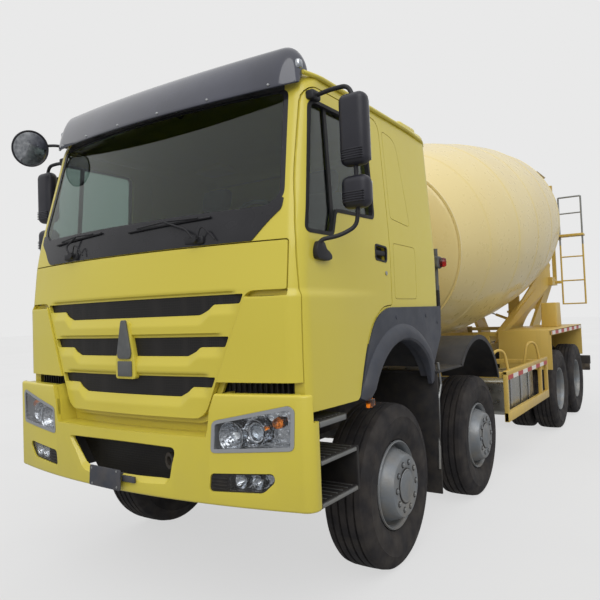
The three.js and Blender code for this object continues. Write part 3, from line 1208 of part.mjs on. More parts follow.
piece("cab_shell", cabShell(), CAB_YELLOW);
piece("windshield", windshield(), GLASS);
piece("front_lid", frontLid(), CAB_YELLOW);
piece("front_bumper", bumper(), CAB_YELLOW);
piece("sun_visor", sunVisor(), VISOR_GLOSS);
piece("kerb_mirror", kerbMirror(), BLACK_PLASTIC);
piece("dashboard", dashboard(), TRIM_GREY);
for (const side of [1, -1]) {
  piece(`door_${sideName(side)}`, door(side), CAB_YELLOW);
  piece(`door_glass_${sideName(side)}`, doorGlass(side), GLASS);
  piece(`mirror_${sideName(side)}`, mirror(side), BLACK_PLASTIC);
  piece(`seat_${sideName(side)}`, seat(side), SEAT_CLOTH);
}

export default truck;
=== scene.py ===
"""Concrete mixer truck: its finishes and its detailed shells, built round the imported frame.

Metres. Every shape is drawn in the truck's own coordinates, where x is the truck's left, y runs
backwards from the foremost point of the bumper and z is up from the ground. place() moves it to
the frame's origin, which lies in the middle of the truck's length.
"""

import math

import bmesh
import bpy
import numpy as np
from mathutils import Matrix, Vector


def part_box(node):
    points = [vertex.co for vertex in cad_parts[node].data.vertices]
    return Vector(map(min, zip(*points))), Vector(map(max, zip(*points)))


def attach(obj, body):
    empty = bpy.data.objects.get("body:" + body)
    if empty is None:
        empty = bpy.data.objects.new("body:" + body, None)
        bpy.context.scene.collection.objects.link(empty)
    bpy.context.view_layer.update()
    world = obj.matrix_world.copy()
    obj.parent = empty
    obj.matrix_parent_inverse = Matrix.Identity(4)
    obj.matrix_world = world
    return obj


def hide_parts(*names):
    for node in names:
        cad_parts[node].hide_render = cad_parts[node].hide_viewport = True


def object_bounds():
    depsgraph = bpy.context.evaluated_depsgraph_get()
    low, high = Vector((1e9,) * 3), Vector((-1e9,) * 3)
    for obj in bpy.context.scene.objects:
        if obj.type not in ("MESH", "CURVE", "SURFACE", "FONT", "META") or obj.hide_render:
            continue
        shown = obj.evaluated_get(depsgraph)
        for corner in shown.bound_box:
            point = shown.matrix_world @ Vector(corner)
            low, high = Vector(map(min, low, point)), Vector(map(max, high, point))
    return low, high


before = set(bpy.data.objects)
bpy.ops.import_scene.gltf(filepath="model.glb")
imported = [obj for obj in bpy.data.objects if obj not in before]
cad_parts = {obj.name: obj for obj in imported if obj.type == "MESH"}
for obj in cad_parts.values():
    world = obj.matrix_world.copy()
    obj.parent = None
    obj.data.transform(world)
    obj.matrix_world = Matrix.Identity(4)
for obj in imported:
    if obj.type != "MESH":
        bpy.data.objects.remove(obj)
CAD_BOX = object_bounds()
NOSE = CAD_BOX[0].y
SIDES = ((1, "left"), (-1, "right"))
RAIL_FACE = 0.425
SUBFRAME_TOP = 1.180
TAIL = 9.560  # the rear end of the rails
BODY_HALF = 1.240  # of the guards and fenders
SEAT = 0.0003  # between pieces that rest on each other

# ------------------------------------------------------------------ driving dimensions

CAB_HALF = 1.170
CAB_CORNER = 0.110
CAB_BOW = 0.100  # how far the front falls back at 1 m from the middle
# height, half width, front in the middle, rear
CAB_LEVELS = np.array([
    (1.190, 1.170, 0.115, 2.262), (1.830, 1.170, 0.115, 2.262), (2.098, 1.170, 0.145, 2.262),
    (2.275, 1.162, 0.180, 2.262), (2.985, 1.118, 0.370, 2.262), (3.090, 1.108, 0.435, 2.262),
    (3.150, 0.980, 0.640, 2.112), (3.162, 0.800, 0.900, 1.950),
])
CREASE_Z = 1.830
LID_TOP = 2.094
PANEL_GAP = 0.007

WHEEL_R = 0.538
FRONT_WHEEL_X, REAR_WHEEL_X = 1.012, 0.9095
TWIN_OFFSET = 0.1725  # of each rear tyre from the middle of its pair
WHEEL_BOLTS = 10
FRONT_AXLES = (1.415, 3.215)
REAR_AXLES = (6.730, 8.080)

DRUM_TILT = math.radians(9.6)
DRUM_ORIGIN = Vector((0, 3.592, 2.339))
DRUM_AXIS = Vector((0, math.cos(DRUM_TILT), math.sin(DRUM_TILT)))

# ------------------------------------------------------------------ solids


def linked(name, data):
    """A new object in the scene."""
    obj = bpy.data.objects.new(name, data)
    bpy.context.scene.collection.objects.link(obj)
    return obj


def raw(vertices, faces):
    """A linked object from vertices and faces, with its normals made to point out."""
    mesh = bpy.data.meshes.new("raw")
    mesh.from_pydata([tuple(map(float, v)) for v in vertices], [], faces)
    shape = bmesh.new()
    shape.from_mesh(mesh)
    bmesh.ops.recalc_face_normals(shape, faces=shape.faces)
    shape.to_mesh(mesh)
    shape.free()
    return linked("raw", mesh)


def combine(base, operation, *tools):
    for tool in tools:
        modifier = base.modifiers.new("combine", "BOOLEAN")
        modifier.operation = operation
        modifier.solver = "MANIFOLD"
        modifier.object = tool
    graph = bpy.context.evaluated_depsgraph_get()
    mesh = bpy.data.meshes.new_from_object(base.evaluated_get(graph))
    base.modifiers.clear()
    base.data = mesh
    for tool in tools:
        bpy.data.objects.remove(tool)
    return base


def cut(base, *tools):
    return combine(base, "DIFFERENCE", *tools)


def common(base, *tools):
    return combine(base, "INTERSECT", *tools)


def merge(*objs):
    """One object that holds the islands of several."""
    shape = bmesh.new()
    for obj in objs:
        obj.data.transform(obj.matrix_world)
        shape.from_mesh(obj.data)
    mesh = bpy.data.meshes.new("merged")
    shape.to_mesh(mesh)
    shape.free()
    for obj in objs:
        bpy.data.objects.remove(obj)
    return linked("merged", mesh)


def loft(low, high):
    """A solid between two rings with as many points."""
    count = len(low)
    sides = [(i, (i + 1) % count, (i + 1) % count + count, i + count) for i in range(count)]
    return raw([*low, *high], [tuple(range(count)), tuple(range(2 * count - 1, count - 1, -1)), *sides])


def prism(outline, low, high, to_point):
    return loft([to_point(u, v, low) for u, v in outline], [to_point(u, v, high) for u, v in outline])


def prism_x(outline, x0, x1):
    return prism(outline, x0, x1, lambda y, z, x: (x, y, z))


def prism_y(outline, y0, y1):
    return prism(outline, y0, y1, lambda x, z, y: (x, y, z))


def prism_z(outline, z0, z1):
    return prism(outline, z0, z1, lambda x, y, z: (x, y, z))


def taper_y(outer, y0, inner, y1):
    """A solid from one [x, z] outline to another with as many points."""
    return loft([(x, y0, z) for x, z in outer], [(x, y1, z) for x, z in inner])


def block(x, y, z, radius=0.0, steps=2):
    """A box between limits, with rounded edges."""
    (x0, x1), (y0, y1), (z0, z1) = sorted(x), sorted(y), sorted(z)
    obj = prism_z([(x0, y0), (x1, y0), (x1, y1), (x0, y1)], z0, z1)
    return soften(obj, radius, steps) if radius else obj


def soften(obj, radius, steps=2, angle=40):
    """Rounds every edge that is sharper than an angle."""
    shape = bmesh.new()
    shape.from_mesh(obj.data)
    limit = math.radians(angle)
    edges = [e for e in shape.edges if len(e.link_faces) == 2 and e.calc_face_angle(0) > limit]
    bmesh.ops.bevel(shape, geom=edges, offset=radius, segments=steps, profile=0.5, affect="EDGES",
                    clamp_overlap=True)
    shape.to_mesh(obj.data)
    shape.free()
    return obj


def lathe(profile, origin, direction, steps, closed=False):
    """[radius, distance] points turned round an axis. A closed profile joins its last point to its first."""
    turn = Vector((0, 0, 1)).rotation_difference(Vector(direction).normalized())
    origin = Vector(origin)
    vertices, rings = [], []
    for r, s in profile:
        count = 1 if r < 1e-6 else steps
        rings.append(list(range(len(vertices), len(vertices) + count)))
        for k in range(count):
            a = 2 * math.pi * k / steps
            vertices.append(origin + turn @ Vector((r * math.cos(a), r * math.sin(a), s)))
    faces = []
    pairs = list(zip(rings, rings[1:])) + ([(rings[-1], rings[0])] if closed else [])
    for low, high in pairs:
        for k in range(steps):
            quad = [low[k % len(low)], low[(k + 1) % len(low)], high[(k + 1) % len(high)],
                    high[k % len(high)]]
            face = tuple(dict.fromkeys(quad))
            if len(face) > 2:
                faces.append(face)
    return raw(vertices, faces)


def disc(origin, direction, radius, thickness, steps=24):
    return lathe([(0, 0), (radius, 0), (radius, thickness), (0, thickness)], origin, direction, steps)


def rod(a, b, radius, steps=16):
    a, b = Vector(a), Vector(b)
    return disc(a, b - a, radius, (b - a).length, steps)


def round_corner(before, corner, after, reach, steps):
    """Points on a curve that cuts a corner, starting and ending at a distance from it."""
    a = corner + (before - corner).normalized() * reach
    b = corner + (after - corner).normalized() * reach
    return [a * (1 - t) ** 2 + corner * 2 * t * (1 - t) + b * t * t
            for t in (k / steps for k in range(steps + 1))]


def bend(points, radius, steps=5):
    """The points of a line with its corners rounded."""
    points = [Vector(p) for p in points]
    line = [points[0]]
    for before, corner, after in zip(points, points[1:], points[2:]):
        reach = min(radius, (before - corner).length / 2, (after - corner).length / 2)
        line += round_corner(before, corner, after, reach, steps)
    return [*line, points[-1]]


def tube(points, radius, bend_radius=0.06, sides=12):
    """A round tube along a line with rounded corners."""
    line = bend(points, bend_radius)
    vertices, faces = [], []
    normal = None
    for i, p in enumerate(line):
        along = (line[min(i + 1, len(line) - 1)] - line[max(i - 1, 0)]).normalized()
        if normal is None:
            normal = along.orthogonal().normalized()
        normal = (normal - along * normal.dot(along)).normalized()
        other = along.cross(normal)
        for k in range(sides):
            a = 2 * math.pi * k / sides
            vertices.append(p + normal * radius * math.cos(a) + other * radius * math.sin(a))
    for i in range(len(line) - 1):
        for k in range(sides):
            a, b = i * sides + k, i * sides + (k + 1) % sides
            faces.append((a, b, b + sides, a + sides))
    last = (len(line) - 1) * sides
    faces += [tuple(range(sides)), tuple(range(last + sides - 1, last - 1, -1))]
    return raw(vertices, faces)


def slab(outer, inner):
    """A closed sheet between two grids of points, arrays of rows by columns by 3."""
    rows, columns = outer.shape[:2]
    vertices = np.concatenate([outer.reshape(-1, 3), inner.reshape(-1, 3)])
    back = rows * columns
    faces = []
    for i in range(rows - 1):
        for j in range(columns - 1):
            a = i * columns + j
            quad = (a, a + 1, a + 1 + columns, a + columns)
            faces += [quad, tuple(back + k for k in reversed(quad))]
    for j in range(columns - 1):
        end = (rows - 1) * columns + j
        faces += [(j + 1, j, back + j, back + j + 1), (end, end + 1, back + end + 1, back + end)]
    for i in range(rows - 1):
        a, b = i * columns, i * columns + columns - 1
        faces += [(a, a + columns, back + a + columns, back + a),
                  (b + columns, b, back + b, back + b + columns)]
    return raw(vertices, faces)


def rounded(outline, radius, steps=5):
    """A closed outline with its corners rounded. radius is one value, or one for each corner."""
    count = len(outline)
    radii = radius if isinstance(radius, (list, tuple)) else [radius] * count
    line = []
    for i, (u, v) in enumerate(outline):
        corner = Vector((u, v))
        before, after = Vector(outline[i - 1]), Vector(outline[(i + 1) % count])
        reach = min(radii[i], (before - corner).length * 0.49, (after - corner).length * 0.49)
        if reach < 1e-5:
            line.append((u, v))
            continue
        line += [(p.x, p.y) for p in round_corner(before, corner, after, reach, steps)]
    return line


def widened(outline, distance):
    """A closed outline moved outwards."""
    count = len(outline)
    area = sum(outline[i - 1][0] * outline[i][1] - outline[i][0] * outline[i - 1][1] for i in range(count))
    turn = 1 if area > 0 else -1
    moved = []
    for i in range(count):
        p, a, b = Vector(outline[i]), Vector(outline[i - 1]), Vector(outline[(i + 1) % count])
        d0, d1 = (p - a).normalized(), (b - p).normalized()
        n0, n1 = Vector((d0.y, -d0.x)) * turn, Vector((d1.y, -d1.x)) * turn
        middle = (n0 + n1).normalized()
        q = p + middle * (distance / max(0.5, middle.dot(n0)))
        moved.append((q.x, q.y))
    return moved


def pair(side, inner, outer):
    """Limits along x on one side of the truck."""
    return (side * inner, side * outer)


def angles(count, shift=0.0):
    """Angles spread evenly over a full turn."""
    return [2 * math.pi * (k + shift) / count for k in range(count)]


def mirrored(outline):
    """A right half outline and its left half."""
    return outline + [(-u, v) for u, v in reversed(outline)]


def give_finish(obj, material, sharp):
    """One material, and smooth shading between edges sharper than an angle."""
    obj.data.materials.clear()
    obj.data.materials.append(material)
    obj.data.polygons.foreach_set("use_smooth", [True] * len(obj.data.polygons))
    obj.data.set_sharp_from_angle(angle=math.radians(sharp))


def place(obj, name, material, body, stands_for=(), sharp=32):
    """Names a finished shape, gives it its finish and lets it move with a body."""
    obj.name = name
    obj.data.name = name
    obj.data.transform(obj.matrix_world)
    obj.matrix_world = Matrix.Identity(4)
    obj.data.transform(Matrix.Translation((0, NOSE, 0)))
    give_finish(obj, material, sharp)
    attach(obj, body)
    if stands_for:
        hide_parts(*stands_for)
    return obj


# ------------------------------------------------------------------ finishes


def srgb(r, g, b):
    """A colour as it is seen, from 0 to 255, as the linear value that a shader takes."""
    def channel(value):
        c = value / 255
        return c / 12.92 if c <= 0.04045 else ((c + 0.055) / 1.055) ** 2.4
    return (channel(r), channel(g), channel(b), 1.0)


class Finish:
    """A Principled material with helpers for the noise, dust and bump that it is given."""

    def __init__(self, name, roughness=0.5, metallic=0.0, coat=0.0, transmission=0.0, ior=1.45):
        self.material = bpy.data.materials.new(name)
        self.material.use_nodes = True
        self.nodes = self.material.node_tree.nodes
        self.links = self.material.node_tree.links
        self.shader = self.nodes["Principled BSDF"]
        self.shader.inputs["Roughness"].default_value = roughness
        self.shader.inputs["Metallic"].default_value = metallic
        self.shader.inputs["IOR"].default_value = ior
        self.shader.inputs["Transmission Weight"].default_value = transmission
        if coat:
            self.shader.inputs["Coat Weight"].default_value = coat
            self.shader.inputs["Coat Roughness"].default_value = 0.06
        self.place = self.nodes.new("ShaderNodeTexCoord").outputs["Object"]

    def feed(self, value, socket):
        """Gives a socket a value, or joins it to another socket."""
        if isinstance(value, (int, float, tuple)):
            socket.default_value = value
        else:
            self.links.new(value, socket)

    def cells(self, scale):
        node = self.nodes.new("ShaderNodeTexVoronoi")
        node.inputs["Scale"].default_value = scale
        self.links.new(self.place, node.inputs["Vector"])
        return node

    def noise(self, scale, detail=3.0, stretch=None):
        node = self.nodes.new("ShaderNodeTexNoise")
        node.inputs["Scale"].default_value = scale
        node.inputs["Detail"].default_value = detail
        source = self.place
        if stretch:
            mapping = self.nodes.new("ShaderNodeMapping")
            mapping.inputs["Scale"].default_value = stretch
            self.links.new(self.place, mapping.inputs["Vector"])
            source = mapping.outputs["Vector"]
        self.links.new(source, node.inputs["Vector"])
        return node.outputs["Fac"]

    def span(self, value, low, high, to_low=0.0, to_high=1.0):
        node = self.nodes.new("ShaderNodeMapRange")
        for name, number in zip(("From Min", "From Max", "To Min", "To Max"), (low, high, to_low, to_high)):
            node.inputs[name].default_value = number
        self.links.new(value, node.inputs["Value"])
        return node.outputs["Result"]

    def maths(self, operation, a, b):
        node = self.nodes.new("ShaderNodeMath")
        node.operation = operation
        for socket, value in zip(node.inputs, (a, b)):
            self.feed(value, socket)
        return node.outputs[0]

    def mix(self, factor, a, b):
        node = self.nodes.new("ShaderNodeMix")
        node.data_type = "RGBA"
        self.links.new(factor, node.inputs["Factor"])
        for socket, value in ((node.inputs[6], a), (node.inputs[7], b)):
            self.feed(value, socket)
        return node.outputs[2]

    def axis(self, source, name):
        node = self.nodes.new("ShaderNodeSeparateXYZ")
        self.links.new(source, node.inputs[0])
        return node.outputs[name]

    def height(self):
        """Height above the ground in the truck's frame, wherever the object's own origin is."""
        return self.axis(self.nodes.new("ShaderNodeNewGeometry").outputs["Position"], "Z")

    def colour(self, value):
        self.feed(value, self.shader.inputs["Base Color"])
        return self

    def dusty(self, base, amount, heights, scale, limits):
        """Dust that settles between two heights, broken up by noise."""
        settled = self.span(self.height(), *heights, 0.0, amount)
        broken = self.span(self.noise(scale, 6), *limits)
        return self.mix(self.maths("MULTIPLY", settled, broken), base, DUST)

    def rough(self, low, high, scale=12):
        self.links.new(self.span(self.noise(scale), 0.3, 0.7, low, high), self.shader.inputs["Roughness"])
        return self

    def bump(self, *layers, edge=0.0):
        """Bump from (height value, strength, distance) layers, over edges softened by a radius."""
        normal = None
        if edge:
            node = self.nodes.new("ShaderNodeBevel")
            node.samples = 4
            node.inputs["Radius"].default_value = edge
            normal = node.outputs["Normal"]
        for value, strength, distance in layers:
            node = self.nodes.new("ShaderNodeBump")
            node.inputs["Strength"].default_value = strength
            node.inputs["Distance"].default_value = distance
            self.links.new(value, node.inputs["Height"])
            if normal is not None:
                self.links.new(normal, node.inputs["Normal"])
            normal = node.outputs["Normal"]
        self.links.new(normal, self.shader.inputs["Normal"])
        return self


DUST = srgb(168, 150, 118)
GRIME = srgb(70, 60, 48)


def paint(name, colour, shade, dust=0.25, dust_top=1.6, grime=0.0, roughness=(0.28, 0.36), coat=0.3,
          waves=0.03, edge=0.003):
    """Vehicle paint: slow colour drift, settled dust low down, rain streaks and a faint orange peel."""
    f = Finish(name, coat=coat)
    drift = f.span(f.noise(0.9, 1), 0.35, 0.65)
    base = f.mix(drift, shade, colour)
    base = f.dusty(base, dust, (dust_top, 0.5), 9, (0.35, 0.75))
    if grime:
        streak = f.span(f.noise(3.5, 6, stretch=(5, 5, 0.6)), 0.52, 0.8, 0.0, grime)
        base = f.mix(streak, base, GRIME)
    f.colour(base).rough(*roughness)
    f.bump((f.noise(260, 1), 0.02, 0.0006), (f.noise(2.2, 1), waves, 0.02), edge=edge)
    return f.material


def plastic(name, colour, roughness=0.5, grain=0.25, dust=0.25):
    """Moulded plastic with a fine grain and dust in it."""
    f = Finish(name, roughness)
    pale = tuple(min(1.0, c * 1.2 + 0.003) for c in colour[:3]) + (1.0,)
    base = f.mix(f.span(f.noise(5, 5), 0.35, 0.7), colour, pale)
    base = f.dusty(base, dust, (1.8, 0.5), 14, (0.3, 0.7))
    f.colour(base).rough(roughness - 0.08, roughness + 0.1, 8)
    f.bump((f.noise(420, 2), grain, 0.0008), edge=0.004)
    return f.material


def metal(name, colour, roughness=0.4, metallic=0.8, wear=0.3, brushed=None):
    """Bare, galvanised or painted metal with patches of wear."""
    f = Finish(name, roughness, metallic)
    dark = tuple(c * 0.55 for c in colour[:3]) + (1.0,)
    base = f.mix(f.span(f.noise(6, 6), 0.35, 0.7, 0.0, wear), colour, dark)
    base = f.dusty(base, 0.3, (1.2, 0.3), 11, (0.35, 0.7))
    f.colour(base).rough(roughness * 0.75, min(1.0, roughness * 1.35))
    f.bump((f.noise(180, 3, stretch=brushed), 0.15, 0.0008), edge=0.002)
    return f.material


def rubber():
    f = Finish("rubber", 0.8)
    dirt = f.span(f.noise(8, 7), 0.4, 0.72, 0.0, 0.55)
    base = f.mix(dirt, srgb(34, 32, 34), srgb(74, 68, 62))
    f.colour(base).rough(0.7, 0.95)
    f.bump((f.noise(300, 3), 0.25, 0.001), (f.noise(24, 3), 0.1, 0.004))
    return f.material


def glass(name, tint, roughness=0.02):
    f = Finish(name, roughness, transmission=1.0)
    f.colour(tint)
    f.bump((f.noise(3, 1), 0.03, 0.003))
    return f.material


def lens(name, tint, flutes=60):
    """Clear or coloured lamp glass with moulded flutes."""
    f = Finish(name, 0.03, transmission=1.0)
    wave = f.nodes.new("ShaderNodeTexWave")
    wave.inputs["Scale"].default_value = flutes
    f.links.new(f.place, wave.inputs["Vector"])
    f.colour(tint).bump((wave.outputs["Fac"], 0.15, 0.001))
    return f.material


def chrome(facets=False):
    f = Finish("reflector_chrome" if facets else "chrome", 0.08, 1.0)
    f.colour(f.mix(f.span(f.noise(40, 3), 0.3, 0.7), srgb(205, 208, 212), srgb(150, 154, 160)))
    cells = f.cells(55 if facets else 8)
    f.bump((cells.outputs["Distance"], 0.6 if facets else 0.05, 0.004))
    return f.material


TAPE_PERIOD = 0.42


def tape():
    """Reflective tape in red and white lengths."""
    f = Finish("reflective_tape", 0.35)
    along = f.maths("FRACT", f.maths("MULTIPLY", f.axis(f.place, "Y"), 1 / TAPE_PERIOD), 0)
    red = f.maths("GREATER_THAN", along, 0.5)
    f.colour(f.mix(red, srgb(225, 222, 215), srgb(176, 52, 48)))
    cells = f.cells(220)
    f.bump((cells.outputs["Distance"], 0.3, 0.0008))
    return f.material


def mesh_grille():
    """Black expanded mesh behind the openings in the front. The middle of each cell is painted near black:
    painted shade for the dark seen through the mesh.
    """
    f = Finish("grille_mesh", 0.55)
    cells = f.cells(70)
    cells.feature = "DISTANCE_TO_EDGE"
    cells.inputs["Randomness"].default_value = 0.0
    ribs = f.span(cells.outputs["Distance"], 0.05, 0.2)
    # painted shade: the ribs are black, and the cells between them are near black (9, 8, 8) for the dark seen
    # through the openings
    f.colour(f.mix(ribs, srgb(30, 27, 26), srgb(9, 8, 8)))
    f.bump((ribs, 0.3, -0.002))
    return f.material


def cloth():
    """Woven seat cloth."""
    f = Finish("seat_weave", 0.95)
    f.shader.inputs["Sheen Weight"].default_value = 0.4
    weave = [f.nodes.new("ShaderNodeTexWave") for _ in range(2)]
    for node, direction in zip(weave, ("X", "Z")):
        node.bands_direction = direction
        node.inputs["Scale"].default_value = 130
        f.links.new(f.place, node.inputs["Vector"])
    thread = f.maths("MAXIMUM", weave[0].outputs["Fac"], weave[1].outputs["Fac"])
    f.colour(f.mix(thread, srgb(42, 44, 50), srgb(82, 84, 92)))
    f.bump((thread, 0.5, 0.001), (f.noise(20, 3), 0.3, 0.004))
    return f.material


CAB_PAINT = paint("cab_paint", srgb(214, 199, 74), srgb(210, 194, 70), dust=0.08)
BODY_PAINT = paint("body_paint", srgb(208, 178, 90), srgb(198, 166, 80), dust=0.25, dust_top=1.4, grime=0.14,
                   roughness=(0.36, 0.5), coat=0.15, waves=0.05)
DRUM_PAINT = paint("drum_paint", srgb(229, 209, 144), srgb(225, 204, 138), dust=0.0, grime=0.0,
                   roughness=(0.26, 0.34), coat=0.35, waves=0.04, edge=0.0)
BLACK = plastic("black_moulding", srgb(28, 28, 32), dust=0.08)
GLOSS_BLACK = plastic("gloss_black", srgb(30, 30, 34), 0.22, grain=0.02, dust=0.1)
ARCH_GREY = plastic("arch_grey", srgb(56, 60, 70), 0.48, dust=0.12)
STEP_BLACK = plastic("step_black", srgb(24, 23, 25), 0.55, dust=0.05)
MIRROR_BLACK = plastic("mirror_black", srgb(36, 36, 44), 0.38, grain=0.15)
SEAL = plastic("seal_rubber", srgb(18, 18, 20), 0.6, grain=0.1, dust=0.0)
TRIM = plastic("dash_trim", srgb(84, 86, 84), 0.7, dust=0.0)
RUBBER = rubber()
RIM_PAINT = metal("rim_paint", srgb(128, 133, 138), 0.42, 0.35, wear=0.35)
CHASSIS_PAINT = metal("chassis_paint", srgb(44, 42, 44), 0.55, 0.2, wear=0.4)
GALVANISED = metal("galvanised", srgb(150, 152, 152), 0.45, 0.85, wear=0.35)
STEEL = metal("bright_steel", srgb(176, 178, 180), 0.28, 0.95, wear=0.2)
TANK_METAL = metal("tank_aluminium", srgb(178, 178, 172), 0.3, 0.9, wear=0.25, brushed=(1, 30, 30))
CASTING = metal("grey_casting", srgb(110, 112, 112), 0.6, 0.5, wear=0.5)
CHROME = chrome()
REFLECTOR = chrome(facets=True)
WINDOW = glass("window_glass", srgb(160, 176, 170))
LAMP_CLEAR = lens("lamp_clear", srgb(238, 242, 245))
LAMP_COVER = glass("lamp_cover", srgb(250, 251, 252))
SILVER = metal("silver_trim", srgb(168, 171, 175), 0.35, 0.5, wear=0.1)
LAMP_AMBER = lens("lamp_amber", srgb(240, 130, 30), 90)
LAMP_RED = lens("lamp_red", srgb(190, 30, 25), 90)
TAPE = tape()
GRILLE = mesh_grille()
CLOTH = cloth()


def visor_acrylic():
    f = Finish("visor_acrylic", 0.12, coat=0.6)
    f.colour(f.mix(f.span(f.noise(2.5), 0.35, 0.65), srgb(66, 68, 82), srgb(54, 56, 68)))
    f.rough(0.08, 0.16, 6).bump((f.noise(3, 1), 0.06, 0.006), edge=0.003)
    return f.material


VISOR = visor_acrylic()

# ------------------------------------------------------------------ the cab's surface


def smooth_step(value, start, end):
    t = np.clip((value - start) / (end - start), 0, 1)
    return t * t * (3 - 2 * t)


def level(z):
    """Half width, front and rear of the cab at a height, with the bends between levels rounded."""
    offsets = np.array([-0.03, -0.018, -0.006, 0.006, 0.018, 0.03])
    samples = np.clip(np.asarray(z)[..., None] + offsets, CAB_LEVELS[0, 0], CAB_LEVELS[-1, 0])
    return [np.interp(samples, CAB_LEVELS[:, 0], CAB_LEVELS[:, k]).mean(-1) for k in (1, 2, 3)]


def bow(x):
    return CAB_BOW * x * x


CORNER_START = math.atan(2 * CAB_BOW * (CAB_HALF - CAB_CORNER))


def corner(half, front):
    """Centre of the front corner's arc, and where the bow meets it."""
    cx = half - CAB_CORNER
    flat = cx + CAB_CORNER * math.sin(CORNER_START)
    return cx, front + bow(flat) + CAB_CORNER * math.cos(CORNER_START), flat


def crease(y, z):
    """How far the lower corners and doors stand out below the crease."""
    return 0.013 * (1 - smooth_step(z, CREASE_Z - 0.040, CREASE_Z + 0.006)) * (1 - smooth_step(y, 0.55, 1.30))


def front_y(x, z):
    half, front, _ = level(z)
    cx, cy, flat = corner(half, front)
    reach = np.clip(np.abs(x) - cx, 0, CAB_CORNER * 0.999)
    round_y = cy - np.sqrt(CAB_CORNER ** 2 - reach ** 2)
    return np.where(np.abs(x) < flat, front + bow(x), round_y)


def side_x(y, z):
    half, front, _ = level(z)
    cx, cy, _ = corner(half, front)
    reach = np.clip(cy - y, 0, CAB_CORNER * 0.97)
    round_x = cx + np.sqrt(CAB_CORNER ** 2 - reach ** 2)
    return np.where(y > cy, half, round_x)


def cab_ring(z, side, front, rear, proud):
    half, nose, tail = (float(v) for v in level(z))
    half, nose, tail = half - side, nose + front, tail - rear
    cx, cy, flat = corner(half, nose)
    line = [(x, nose + bow(x)) for x in np.linspace(0, flat, 28)]
    for a in np.linspace(CORNER_START, math.pi / 2, 11)[1:]:
        line.append((cx + CAB_CORNER * math.sin(a), cy - CAB_CORNER * math.cos(a)))
    line += [(half, y) for y in np.linspace(cy, tail - 0.06, 46)[1:]]
    line += [(half - 0.06 + 0.06 * math.cos(a), tail - 0.06 + 0.06 * math.sin(a))
             for a in np.linspace(0.3, 1.57, 4)]
    line += [(x, tail) for x in np.linspace(half - 0.06, 0, 8)[1:]]
    ring = np.array(line + [(-x, y) for x, y in line[-2:0:-1]])
    if proud:
        along = np.roll(ring, -1, 0) - np.roll(ring, 1, 0)
        normal = np.stack([along[:, 1], -along[:, 0]], 1) / np.linalg.norm(along, axis=1)[:, None]
        ring = ring + normal * crease(ring[:, 1], z)[:, None]
    return [(x, y, z) for x, y in ring]


def cab_body(side=0.0, front=0.0, rear=0.0, top=0.0, proud=False):
    """The cab's closed outside, each face moved inwards by its own distance."""
    heights = [*np.arange(1.19, 1.77, 0.05), *np.arange(1.77, 1.86, 0.008), *np.arange(1.87, 3.02, 0.03),
               *np.arange(3.03, 3.162, 0.012), 3.162]
    rings = [cab_ring(z, side, front, rear, proud) for z in heights]
    count = len(rings[0])
    vertices = [(x, y, z - (top if z > 3.0 else 0)) for ring in rings for x, y, z in ring]
    faces = [tuple(range(count)), tuple(range(len(vertices) - 1, len(vertices) - count - 1, -1))]
    for i in range(len(rings) - 1):
        for k in range(count):
            a, b = i * count + k, i * count + (k + 1) % count
            faces.append((a, b, b + count, a + count))
    return raw(vertices, faces)


def grid_axis(values, step, spare=0.004):
    """Places along one axis of a grid that just covers an outline."""
    low, high = min(values), max(values)
    return np.linspace(low - spare, high + spare, max(3, int((high - low) / step)))


def front_skin(outline, near, far, step=0.02, relief=None):
    """Part of the cab's front inside an [x, z] outline, between two depths behind its surface."""
    x, z = np.meshgrid(*[grid_axis(values, step) for values in zip(*outline)])
    y = front_y(x, z)
    sunk = relief(x, z) if relief else 0
    sheet = slab(np.stack([x, y + near + sunk, z], -1), np.stack([x, y + far, z], -1))
    return common(sheet, prism_y(outline, -1, 2))


def side_skin(side, outline, near, far, step=0.02, proud=False):
    """Part of the cab's side inside a [y, z] outline, between two depths inside its surface."""
    y, z = np.meshgrid(*[grid_axis(values, step) for values in zip(*outline)])
    x = side_x(y, z)
    out = crease(y, z) if proud else 0
    sheet = slab(np.stack([side * (x - near + out), y, z], -1), np.stack([side * (x - far), y, z], -1))
    return common(sheet, prism_x(outline, side * 0.8, side * 1.4))


DOOR = rounded([
    (0.280, 1.186), (0.860, 1.178), (0.950, 1.420), (1.050, 1.605), (1.235, 1.730), (1.385, 1.740),
    (1.385, 2.990), (0.500, 2.990), (0.345, 2.400), (0.290, 2.098), (0.280, 1.640),
], [0.02, 0.04, 0.3, 0.12, 0.10, 0.02, 0.10, 0.10, 0.2, 0.2, 0.2])
WINDOW_OUTLINE = rounded([
    (0.350, 2.145), (0.630, 2.145), (0.685, 2.290), (1.165, 2.300), (1.180, 2.330), (1.180, 2.880),
    (1.150, 2.910), (0.515, 2.905),
], [0.035, 0.03, 0.03, 0.03, 0.03, 0.06, 0.06, 0.05])
SCREEN_OUTLINE = rounded(mirrored([(0.975, 2.262), (1.062, 2.330), (1.010, 2.960), (0.965, 2.990)]), 0.07)
LID_OUTLINE = rounded(mirrored([(0.545, 1.140), (0.600, 1.180), (0.868, 1.834), (1.100, 1.834),
                                (1.100, LID_TOP)]),
                      [0.03, 0.03, 0.05, 0.012, 0.012] + [0.012, 0.012, 0.05, 0.03, 0.03])

# each band of the grille: top, narrow bottom, deep bottom, half width at the top, half widths of its steps
BANDS = (
    (1.820, 1.768, 1.712, 0.852, 0.655, 0.560),
    (1.592, 1.534, 1.484, 0.757, 0.560, 0.470),
    (1.370, 1.312, 1.256, 0.664, 0.500, 0.410),
)


def band_outline(band, grow=0.0):
    top, narrow, deep, end, step, foot = band
    slant = 0.41  # how far the lid's edge moves in for each metre down
    return mirrored([
        (foot, deep - grow), (step - 0.03 + grow, (narrow + deep) / 2 - grow), (step + grow, narrow - grow),
        (end - slant * (top - narrow), narrow - grow), (end, top),
    ])


